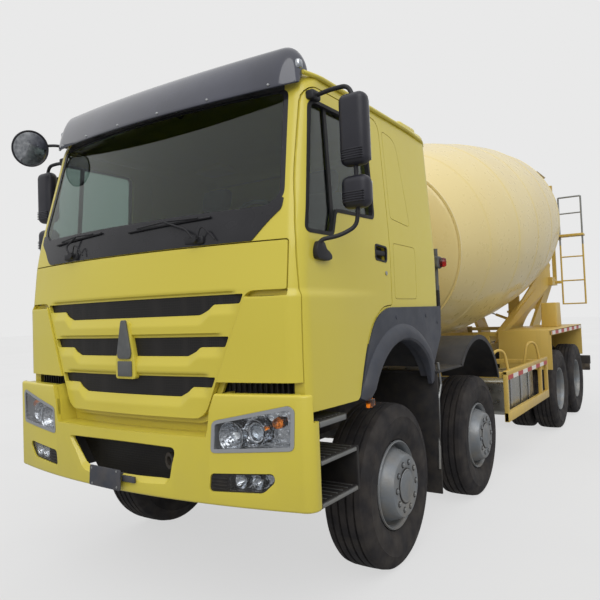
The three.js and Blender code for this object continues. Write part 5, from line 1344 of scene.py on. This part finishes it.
def build_rear_wheel(side, label, number, y):
    body = f"wheel_{number}_{label}"
    origin = Vector((side * REAR_WHEEL_X, y, WHEEL_R))
    build_tyre(f"tyre_{number}_{label}", body, origin, side, [TWIN_OFFSET, -TWIN_OFFSET], [body])
    outer = TWIN_OFFSET
    rim = [(0.290, outer + 0.122), (0.286, outer + 0.131), (0.278, outer + 0.128), (0.268, outer + 0.112),
           (0.262, outer + 0.08),
           (0.258, 0.060), (0.248, 0.040), (0.225, 0.036), (0.190, 0.050), (0.150, 0.052), (0.150, 0.185),
           (0.142, 0.196),
           (0.112, 0.200), (0.100, 0.206), (0.086, 0.222), (0.075, 0.225), (0.0, 0.225), (0.0, 0.030),
           (0.20, 0.026),
           (0.262, 0.012), (0.268, 0.0), (0.268, -0.28), (0.290, -0.294), (0.296, -0.280), (0.274, -0.268),
           (0.274, 0.26)]
    wheel = lathe(rim, origin, (side, 0, 0), 80)
    holes = []
    for a in angles(WHEEL_BOLTS, 0.5):
        holes.append(disc(radial(origin, side, 0.222, a, -0.03), (side, 0, 0), 0.026, 0.1, 20))
    cut(wheel, *holes)
    place(wheel, f"rim_{number}_{label}", RIM_PAINT, body)
    nuts = []
    for a in angles(WHEEL_BOLTS):
        nuts.append(lathe([(0, 0), (0.017, 0), (0.017, 0.016), (0.011, 0.022), (0.011, 0.034), (0, 0.034)],
                          radial(origin, side, 0.175, a, 0.050), (side, 0, 0), 6))
        nuts.append(lathe([(0, 0), (0.009, 0), (0.009, 0.008), (0, 0.008)],
                          radial(origin, side, 0.125, a + 0.3, 0.198), (side, 0, 0), 6))
    place(merge(*nuts), f"wheel_nuts_{number}_{label}", STEEL, body)


# ------------------------------------------------------------------ mudguards, guards, tank, fenders


MUDGUARD_CENTRE = (3.095, 0.795)
MUDGUARD_RADIUS = 0.655


def mudguard_row(side, angle, radius, follow):
    """One row of points across a mudguard, whose rims drop by a share of their lift."""
    cy, cz = MUDGUARD_CENTRE
    row = []
    for x, lift in ((0.640, -0.004), (0.660, 0.0), (1.190, 0.0), (1.205, -0.004), (1.215, -0.016)):
        r = radius + lift * follow
        row.append((side * x, cy + r * math.cos(angle), cz + r * math.sin(angle)))
    return row


def build_mudguards():
    parts = []
    cy, cz = MUDGUARD_CENTRE
    for side, _ in SIDES:
        outer, inner = [], []
        for a in np.radians(np.linspace(20, 138, 44)):
            outer.append(mudguard_row(side, a, MUDGUARD_RADIUS, 1))
            inner.append(mudguard_row(side, a, 0.637, 0.5))
        parts.append(slab(np.array(outer), np.array(inner)))
        for a0, a1 in ((20, 60), (60, 100), (100, 138)):
            ring = arc(cy, cz, 0.661, a0, a1, 16) + arc(cy, cz, 0.620, a1, a0, 16)
            parts.append(prism_x(ring, side * 1.207, side * 1.217))
        z = cz + MUDGUARD_RADIUS * math.sin(math.radians(138))
        y = cy + MUDGUARD_RADIUS * math.cos(math.radians(138))
        parts.append(block((side * 0.640, side * 1.215), (2.065, y + 0.012), (z - 0.020, z), 0.006))
        parts.append(block((side * 0.620, side * 1.205), (2.068, 2.084), (0.310, z - 0.002), 0.005))
        for bolt_x in (0.75, 0.92, 1.10):
            parts.append(disc((side * bolt_x, 2.15, z), (0, 0, 1), 0.012, 0.008, 6))
    carrier = block((-0.72, 0.72), (2.43, 2.49), (SUBFRAME_TOP + SEAT, 1.230), 0.006)
    place(merge(*parts, carrier), "mudguard_sheets", BLACK, "chassis", ["mudguards"])
    strips = []
    for side, _ in SIDES:
        line = [(side * 1.195, y, z) for y, z in ((2.12, 1.29), (2.16, 1.12), (2.10, 1.02), (2.060, 0.50))]
        for a, b in zip(line, line[1:]):
            strips.append(tube([a, b], 0.010, 0.01, 8))
    place(merge(*strips), "flap_strips", GALVANISED, "chassis")


def build_side_guard(side, label):
    name = f"side_guard_{label}"
    low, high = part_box(name)
    front, rear = low.y - NOSE, high.y - NOSE
    z0, z1 = low.z, high.z
    outer = BODY_HALF
    parts = [
        block(pair(side, outer - 0.045, outer), (front, rear), (z0, z0 + 0.095), 0.006),
        block(pair(side, outer - 0.045, outer), (front, rear), (z1 - 0.040, z1), 0.006),
        block(pair(side, outer - 0.043, outer - 0.003), (front + 0.01, rear - 0.01), (z1 - 0.095, z1 - 0.038),
              0.003),
    ]
    for y in (front, rear - 0.390, rear - 0.045):
        parts.append(block(pair(side, outer - 0.044, outer - 0.001), (y, y + 0.045), (z0 + 0.002, z1 - 0.002),
                           0.006))
    for y in (front + 0.030, rear - 0.330):
        parts.append(block(pair(side, 0.4255, outer - 0.01), (y, y + 0.060), (z1 - 0.075, z1 - 0.015), 0.006))
    for y0, y1 in ((front - 0.02, front + 0.14), (rear - 0.55, rear - 0.36)):
        hoop = [(side * (outer - 0.16), y0, z1 - 0.05), (side * (outer - 0.12), y0 + 0.01, z1 + 0.21),
                (side * (outer - 0.05), y1 - 0.03, z1 + 0.20), (side * (outer - 0.022), y1, z1 - 0.02)]
        if side > 0:
            parts.append(tube(hoop, 0.015, 0.09))
    place(merge(*parts), f"guard_frame_{label}", BODY_PAINT, "chassis", [name])
    strip = block(pair(side, outer - 0.003, outer + 0.0015), (front + 0.05, rear - 0.05),
                  (z1 - 0.090, z1 - 0.046))
    place(strip, f"guard_tape_{label}", TAPE, "chassis")


def build_fuel_tank():
    low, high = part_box("fuel_tank")
    front, rear = low.y - NOSE, high.y - NOSE
    z0, z1 = 0.575, 0.950
    def shell(x0, x1, grow, steps=8):
        line = rounded([(front - grow, z0 - grow), (rear + grow, z0 - grow), (rear + grow, z1 + grow),
                        (front - grow, z1 + grow)],
                       0.075, steps)
        return prism_x(line, x0, x1)
    body = soften(shell(0.562, 1.168, 0.0), 0.010, 3, 60)
    place(body, "tank_shell", TANK_METAL, "chassis", ["fuel_tank"])
    straps = []
    for y in (front + 0.20, (front + rear) / 2, rear - 0.28):
        line = rounded([(0.555, z0 - 0.006), (1.176, z0 - 0.006), (1.176, z1 + 0.006), (0.555, z1 + 0.006)],
                       0.03)
        ring = prism_y(line, y, y + 0.06)
        straps.append(cut(ring, prism_y(widened(line, -0.005), y - 0.1, y + 0.2)))
        straps.append(block((RAIL_FACE + SEAT, 0.562), (y, y + 0.06), (z0 + 0.04, z1), 0.004))
    place(merge(*straps), "tank_straps", STEEL, "chassis")
    cap = lathe([(0.0, 0.045), (0.044, 0.045), (0.050, 0.038), (0.050, 0.010), (0.058, 0.006),
                 (0.058, -0.004), (0.0, -0.004)],
                (0.900, front + 0.26, z1), (0, 0, 1), 32)
    place(cap, "tank_cap", BLACK, "chassis")


def build_rear_fenders():
    front, rear, top, wall = 6.150, 8.600, 1.370, 0.018
    outline = [(front, 0.850), (front + wall, 0.850), (front + wall, top - wall), (rear - wall, top - wall),
               (rear - wall, 0.880), (rear, 0.880), (rear, top), (front, top)]
    parts = []
    for side, _ in SIDES:
        parts.append(soften(prism_x(outline, side * 0.560, side * BODY_HALF), 0.004, 2, 30))
        parts.append(block((side * 1.222, side * BODY_HALF), (front, rear), (top - 0.070, top - 0.004),
                           0.003))
        for k in range(5):
            y = front + 0.30 + k * 0.46
            parts.append(block((side * 0.58, side * 1.22), (y, y + 0.03), (top - 0.045, top - wall), 0.002,
                               1))
    for y in (front + 0.040, rear - 0.130):
        parts.append(block((-1.18, 1.18), (y, y + 0.07), (top - 0.075, top - wall), 0.004))
        for side, _ in SIDES:
            parts.append(block((side * 0.365, side * RAIL_FACE), (y, y + 0.07),
                               (SUBFRAME_TOP + SEAT, top - 0.07), 0.004))
    place(merge(*parts), "fender_sheets", BODY_PAINT, "chassis", ["rear_fenders"])
    tapes = [block((side * 1.2395, side * 1.2415), (front + 0.05, rear - 0.05), (top - 0.062, top - 0.014))
             for side, _ in SIDES]
    place(merge(*tapes), "fender_tape", TAPE, "chassis")
    box_line = [(7.45, top), (7.83, top), (7.79, 1.735), (7.49, 1.735)]
    toolbox = soften(prism_x(box_line, 0.86, 1.08), 0.012, 3, 30)
    place(toolbox, "deck_box", BODY_PAINT, "chassis")


# ------------------------------------------------------------------ drum


def on_axis(s):
    return DRUM_ORIGIN + DRUM_AXIS * s


DRUM_CORNERS = [(0.560, -0.150, 0.0), (0.910, 0.0, 0.03), (1.100, 0.700, 0.15), (1.208, 1.380, 0.25),
                (1.248, 2.850, 0.5),
                (1.165, 4.200, 0.35), (1.040, 4.560, 0.12), (0.620, 5.480, 0.05), (0.575, 5.560, 0.03),
                (0.575, 5.760, 0.0)]


def drum_line():
    """The drum's outside as [radius, distance] points, its courses blended by rounded shoulders."""
    line = [DRUM_CORNERS[0][:2]]
    for (r0, s0, _), (r1, s1, reach), (r2, s2, _) in zip(DRUM_CORNERS, DRUM_CORNERS[1:], DRUM_CORNERS[2:]):
        before, here, after = Vector((r0, s0)), Vector((r1, s1)), Vector((r2, s2))
        reach = min(reach, (before - here).length * 0.45, (after - here).length * 0.45)
        line += [(p.x, p.y) for p in round_corner(before, here, after, reach, 6)]
    return [*line, DRUM_CORNERS[-1][:2]]


def with_seams(line, seams):
    """The same line with a low weld bead at each distance."""
    dense = []
    for (r0, s0), (r1, s1) in zip(line, line[1:]):
        marks = sorted({0.0, 1.0,
                        *[(m + d - s0) / (s1 - s0) for m in seams for d in (-0.012, -0.006, 0, 0.006, 0.012)
                                    if s0 < m + d < s1]} if s1 - s0 > 0.02 else {0.0, 1.0})
        for t in marks[:-1]:
            s = s0 + (s1 - s0) * t
            bead = sum(0.0045 * max(0.0, 1 - (abs(s - m) / 0.012) ** 2) for m in seams)
            dense.append((r0 + (r1 - r0) * t + bead, s))
    return [*dense, line[-1]]


def build_drum():
    seams = (0.60, 1.36, 2.20, 3.10, 3.98, 4.60)
    outer = with_seams(drum_line(), seams)
    inner = [(r - 0.010, s) for r, s in reversed(drum_line())]
    profile = [(0.0, -0.250), (0.240, -0.250), (0.250, -0.244), (0.250, -0.205), *outer, *inner,
               (0.540, -0.138), (0.0, -0.190)]
    shell = lathe(profile, on_axis(0), DRUM_AXIS, 144)
    bands = []
    for s, r in ((0.025, 0.921), (5.72, 0.575)):
        bands.append(lathe([(r - 0.008, s - 0.02), (r + 0.012, s - 0.018), (r + 0.012, s + 0.018),
                            (r - 0.008, s + 0.02)],
                           on_axis(0), DRUM_AXIS, 96, closed=True))
    side_axis = Vector((1, 0, 0))
    up_axis = DRUM_AXIS.cross(side_axis)
    a = math.radians(150)
    outward = side_axis * math.cos(a) + up_axis * math.sin(a)
    centre = on_axis(2.35) + outward * 1.235
    hatch = [lathe([(0, 0.026), (0.20, 0.024), (0.212, 0.016), (0.215, -0.02), (0, -0.02)], centre, outward,
                   40)]
    across = outward.cross(DRUM_AXIS).normalized()
    for t in angles(8):
        spot = centre + (DRUM_AXIS * math.cos(t) + across * math.sin(t)) * 0.185 + outward * 0.022
        hatch.append(disc(spot, outward, 0.014, 0.014, 6))
    place(merge(shell, *bands, *hatch), "drum_shell", DRUM_PAINT, "drum", ["drum"], sharp=28)
    ring = [(0.800, 5.005), (0.872, 5.005), (0.880, 5.013), (0.880, 5.087), (0.872, 5.095), (0.760, 5.095)]
    place(lathe(ring, on_axis(0), DRUM_AXIS, 128, closed=True), "drum_track", STEEL, "drum")
    bolts = []
    for a in angles(20):
        spot = on_axis(-0.250) + (side_axis * math.cos(a) + up_axis * math.sin(a)) * 0.215
        bolts.append(disc(spot + DRUM_AXIS * 0.05, DRUM_AXIS, 0.013, 0.016, 6))
    place(merge(*bolts), "flange_bolts", STEEL, "drum")


# ------------------------------------------------------------------ seats


def pillow(x, y, z, power=4.5, cuts=14, lean=0.0):
    """A crowned closed cushion between limits, leaning back by a slope."""
    size = [(b - a) / 2 for a, b in (x, y, z)]
    mid = [(a + b) / 2 for a, b in (x, y, z)]
    shape = bmesh.new()
    bmesh.ops.create_cube(shape, size=2)
    bmesh.ops.subdivide_edges(shape, edges=shape.edges, cuts=cuts, use_grid_fill=True)
    for v in shape.verts:
        p = v.co
        scale = (abs(p.x) ** power + abs(p.y) ** power + abs(p.z) ** power) ** (-1 / power)
        v.co = Vector((p.x * scale * size[0], p.y * scale * size[1], p.z * scale * size[2]))
        groove = math.exp(-((abs(v.co.x) - size[0] * 0.6) / 0.012) ** 2) * 0.008
        v.co -= v.co.normalized() * groove
        v.co.y += lean * v.co.z
        v.co += Vector(mid)
    mesh = bpy.data.meshes.new("pillow")
    shape.to_mesh(mesh)
    shape.free()
    return linked("pillow", mesh)


SEAT_X = 0.520
# name, half width, front and rear, bottom and top, lean, whether it stands for the seat
SEAT_PADS = (
    ("cushion", 0.255, (0.96, 1.48), (1.88, 2.02), 0.0, True),
    ("back", 0.245, (1.455, 1.585), (1.97, 2.61), 0.24, False),
    ("head", 0.14, (1.56, 1.655), (2.60, 2.79), 0.15, False),
)


def build_seat(side, label):
    node = f"seat_{label}"
    c = side * SEAT_X
    for part, half, y, z, lean, stands_for in SEAT_PADS:
        cushion = pillow((c - half, c + half), y, z, lean=lean)
        nodes = [node] if stands_for else ()
        place(cushion, f"seat_{part}_{label}", CLOTH, "cab", nodes, sharp=60)
    base = block((c - 0.19, c + 0.19), (1.02, 1.42), (1.5505, 1.89), 0.02, 3)
    place(base, f"seat_base_{label}", BLACK, "cab")


# ------------------------------------------------------------------ body furniture


GANTRY_FACE = 0.760
LADDER_X, LADDER_Y = (0.870, 1.235), 9.300
LADDER_SPLIT = 2.75  # where the painted part ends


def build_ladder():
    xs, y, split = LADDER_X, LADDER_Y, LADDER_SPLIT
    lower, upper = [], []
    for x in xs:
        lower.append(tube([(x, y, 1.70), (x, y, split)], 0.015, 0.05))
        upper.append(tube([(x, y, split), (x, y, 3.60)], 0.015, 0.05))
    upper.append(tube([(xs[0], y, 3.56), (xs[0], y, 3.60), (xs[1], y, 3.60), (xs[1], y, 3.56)], 0.015, 0.04))
    for z in (1.712, 2.120, 2.540):
        lower.append(rod((xs[0], y, z), (xs[1], y, z), 0.012))
    upper.append(rod((xs[0], y, 3.310), (xs[1], y, 3.310), 0.012))
    lower.append(block((GANTRY_FACE + SEAT, 0.870), (y - 0.015, y + 0.015), (2.075, 2.125), 0.004))
    lower.append(block((GANTRY_FACE + SEAT, 0.870), (9.385, 9.435), (2.860, 2.940), 0.004))
    deck = block((GANTRY_FACE + SEAT, 1.255), (9.240, 9.440), (2.900, 2.940), 0.006)
    slots = [block((0.82 + 0.07 * k, 0.86 + 0.07 * k), (9.27, 9.41), (2.8, 3.0)) for k in range(6)]
    cut(deck, *slots)
    lower.append(deck)
    place(merge(*lower), "ladder_lower", BODY_PAINT, "chassis", ["ladder"])
    place(merge(*upper), "ladder_upper", GALVANISED, "chassis")


def build_tail():
    lamps, lenses, bars = [], [], []
    for side, _ in SIDES:
        lamps.append(block((side * 0.900, side * 1.210), (TAIL + SEAT, 9.628), (0.630, 0.780), 0.012, 3))
        for k, x in enumerate((0.925, 1.02, 1.115)):
            lenses.append((k, block((side * x, side * (x + 0.08)), (9.622, 9.640), (0.655, 0.755), 0.008, 3)))
        bars.append(block((side * 0.345, side * RAIL_FACE), (TAIL + SEAT, 9.60), (0.60, 1.05), 0.005))
    bar = block((-1.20, 1.20), (TAIL + SEAT, 9.620), (0.520, 0.640), 0.012, 3)
    place(merge(bar, *bars), "tail_bar", CHASSIS_PAINT, "chassis", ["rear_bumper"])
    place(merge(*lamps), "tail_lamp_cases", BLACK, "chassis")
    place(merge(*[l for k, l in lenses if k != 1]), "tail_lenses_red", LAMP_RED, "chassis")
    place(merge(*[l for k, l in lenses if k == 1]), "tail_lenses_amber", LAMP_AMBER, "chassis")


def build_strut_plates():
    """The leaning side plates of the rear pedestal, each with an arched opening over the subframe."""
    foot, lean = 1.181, 0.28
    arch = [(8.50 + 0.60 * math.cos(a), foot - 0.001 + 0.47 * math.sin(a))
            for a in np.linspace(0, math.pi, 25)]
    outline = [(6.58, foot), (6.62, 1.32), (8.38, 2.10), (8.66, 2.44), (8.92, 2.40), (9.22, foot), *arch,
               (7.60, foot)]
    for side, label in SIDES:
        plate = soften(prism_x(outline, -0.012, 0.012), 0.003, 2, 40)
        for vertex in plate.data.vertices:
            vertex.co.x += side * (0.405 + lean * (vertex.co.z - foot))
        flange = prism_x([(6.62, 1.32), (8.38, 2.10), (8.38, 2.112), (6.62, 1.332)], -0.05, 0.05)
        for vertex in flange.data.vertices:
            vertex.co.x += side * (0.405 + lean * (vertex.co.z - foot))
        place(merge(plate, flange), f"strut_plate_{label}", BODY_PAINT, "chassis")


def build_air_lines():
    """The valve with its red cap, and the black hoses that hang behind the cab."""
    x, y = 1.020, 2.640
    valve = merge(block((x - 0.045, x + 0.045), (y - 0.05, y + 0.05), (2.045, 2.150), 0.02, 3),
                  disc((x, y, 2.14), (0, 0, 1), 0.020, 0.075, 20),
                  rod((x, y, 1.86), (x, y, 2.05), 0.018),
                  block((x - 0.30, x), (y - 0.02, y + 0.02), (1.96, 2.00), 0.004))
    place(valve, "air_valve", CASTING, "chassis")
    cap = lathe([(0, 0.05), (0.030, 0.046), (0.040, 0.030), (0.040, 0.0), (0, 0.0)], (x + 0.045, y, 2.095),
                (1, 0.3, 0), 24)
    place(cap, "air_valve_cap", LAMP_RED, "chassis")
    hoses = [tube([(x + d, y + 0.01, 1.90), (x + d, y + 0.02, 1.62), (x + d - 0.05, y + 0.02, 1.42),
                   (0.70, y, 1.36)], 0.018, 0.12)
             for d in (0.0, -0.05)]
    post = block((0.690, 0.730), (y - 0.02, y + 0.02), (1.24, 2.00), 0.006)
    foot = block((0.425, 0.730), (y - 0.02, y + 0.02), (1.195, 1.240), 0.004)
    place(merge(*hoses, post, foot), "air_hoses", BLACK, "chassis")


# ------------------------------------------------------------------ nodes that keep their CAD shape


def dress(node, material, width=0.003, sharp=35):
    """Gives a CAD node its finish, smooth shading between its real edges and softened edges."""
    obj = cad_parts[node]
    give_finish(obj, material, sharp)
    if width:
        modifier = obj.modifiers.new("edges", "BEVEL")
        modifier.width = width
        modifier.segments = 2
        modifier.limit_method = "ANGLE"
        modifier.angle_limit = math.radians(40)
        modifier.harden_normals = True


def dress_frame():
    for node in ("frame_rails", "driveline", "rear_bogie", "front_axle_1", "front_axle_2"):
        dress(node, CHASSIS_PAINT)
    for number in (1, 2):
        for _, label in SIDES:
            dress(f"knuckle_{number}_{label}", CHASSIS_PAINT)
    for node in ("subframe", "front_pedestal", "rear_pedestal", "water_tank", "charge_hopper",
                 "discharge_funnel",
                 "chute_swivel", "main_chute", "chute_extension", "chute_jack"):
        dress(node, BODY_PAINT)
    dress("engine_block", CASTING)
    dress("radiator", BLACK)
    dress("battery_box", BLACK)
    dress("dashboard", TRIM)
    dress("chute_jack_rod", STEEL, 0)
    for _, label in SIDES:
        dress(f"drum_roller_{label}", STEEL)


# ------------------------------------------------------------------ surroundings


# light from the sky at the horizon and overhead, and from one soft key
SKY_LEVEL, ZENITH_LEVEL = 0.62, 1.35
KEY_FROM = (0.45, -0.60, 0.66)
KEY_LEVEL = 1.10
FLOOR_GLOW, FLOOR_BOUNCE = 0.75, 0.25  # the floor's own light as it is seen, and as it falls on the truck
FLOOR_SHADED = (0.16, 0.16, 0.16, 1.0)


FLOOR_SIZE = 160
KEY_SPREAD = math.radians(50)


def build_world():
    """A pale backdrop for the eye, and a soft sky that lights the truck."""
    backdrop = srgb(233, 233, 233)
    world = bpy.data.worlds.new("studio")
    bpy.context.scene.world = world
    world.use_nodes = True
    nodes, links = world.node_tree.nodes, world.node_tree.links
    seen = nodes["Background"]
    seen.inputs["Color"].default_value = backdrop
    soft = nodes.new("ShaderNodeBackground")
    direction = nodes.new("ShaderNodeSeparateXYZ")
    links.new(nodes.new("ShaderNodeTexCoord").outputs["Generated"], direction.inputs[0])
    sky = nodes.new("ShaderNodeMapRange")
    sky.inputs["To Min"].default_value = SKY_LEVEL
    sky.inputs["To Max"].default_value = ZENITH_LEVEL
    links.new(direction.outputs["Z"], sky.inputs["Value"])
    links.new(sky.outputs["Result"], soft.inputs["Strength"])
    path = nodes.new("ShaderNodeLightPath")
    shown = nodes.new("ShaderNodeMath")
    shown.operation = "MAXIMUM"
    links.new(path.outputs["Is Camera Ray"], shown.inputs[0])
    links.new(path.outputs["Is Transmission Ray"], shown.inputs[1])
    mixer = nodes.new("ShaderNodeMixShader")
    links.new(shown.outputs[0], mixer.inputs[0])
    links.new(soft.outputs[0], mixer.inputs[1])
    links.new(seen.outputs[0], mixer.inputs[2])
    links.new(mixer.outputs[0], nodes["World Output"].inputs["Surface"])


def build_floor():
    bpy.ops.mesh.primitive_plane_add(size=FLOOR_SIZE, location=(0, 0, 0))
    floor = bpy.context.object
    floor.name = "floor"
    f = Finish("floor_grey", 0.95)
    f.shader.inputs["Specular IOR Level"].default_value = 0.0
    pale = f.mix(f.span(f.noise(0.3), 0.4, 0.6), srgb(232, 232, 232), srgb(234, 234, 234))
    f.colour(FLOOR_SHADED)
    f.links.new(pale, f.shader.inputs["Emission Color"])
    f.links.new(f.span(f.nodes.new("ShaderNodeLightPath").outputs["Is Camera Ray"], 0, 1, FLOOR_BOUNCE,
                       FLOOR_GLOW),
                f.shader.inputs["Emission Strength"])
    floor.data.materials.append(f.material)


def build_key():
    lamp = bpy.data.lights.new("key", "SUN")
    lamp.energy = KEY_LEVEL
    lamp.angle = KEY_SPREAD
    key = linked("key", lamp)
    key.rotation_euler = Vector(KEY_FROM).to_track_quat("Z", "Y").to_euler()


CAMERA_PLACE = (2.882, -7.3555, 1.698)
CAMERA_YAW = math.radians(33.75)
CAMERA_RISE = math.radians(2.308)
CAMERA_ROLL = math.radians(-2.101)
CAMERA_LENS = 36.51
CAMERA_SHIFT = (0.0132, -0.0167)
CAMERA_REACH = 200


def build_camera():
    ahead = Vector((-math.sin(CAMERA_YAW) * math.cos(CAMERA_RISE),
                    math.cos(CAMERA_YAW) * math.cos(CAMERA_RISE),
                    math.sin(CAMERA_RISE)))
    right = Vector((math.cos(CAMERA_YAW), math.sin(CAMERA_YAW), 0))
    up = right.cross(ahead)
    level_right = right * math.cos(CAMERA_ROLL) + up * math.sin(CAMERA_ROLL)
    level_up = up * math.cos(CAMERA_ROLL) - right * math.sin(CAMERA_ROLL)
    data = bpy.data.cameras.new("camera")
    data.sensor_width = 36
    data.lens = CAMERA_LENS
    data.shift_x, data.shift_y = CAMERA_SHIFT
    data.clip_end = CAMERA_REACH
    camera = linked("camera", data)
    turn = Matrix((level_right, level_up, -ahead)).transposed()
    camera.matrix_world = Matrix.Translation(CAMERA_PLACE) @ turn.to_4x4()
    bpy.context.scene.camera = camera


# ------------------------------------------------------------------ the truck

build_cab()
for side, label in SIDES:
    build_door(side, label)
    build_arch(side, label)
    build_steps(side, label)
    build_seat(side, label)
    build_side_guard(side, label)
    for number, y in zip((1, 2), FRONT_AXLES):
        build_front_wheel(side, label, number, y)
    for number, y in zip((3, 4), REAR_AXLES):
        build_rear_wheel(side, label, number, y)
build_kerb_mirror()
build_visor()
build_wipers()
build_bumper()
build_mudguards()
build_fuel_tank()
build_rear_fenders()
build_drum()
build_ladder()
build_tail()
build_strut_plates()
build_air_lines()
dress_frame()
bpy.context.scene.view_settings.view_transform = "Standard"
build_world()
build_floor()
build_key()
build_camera()
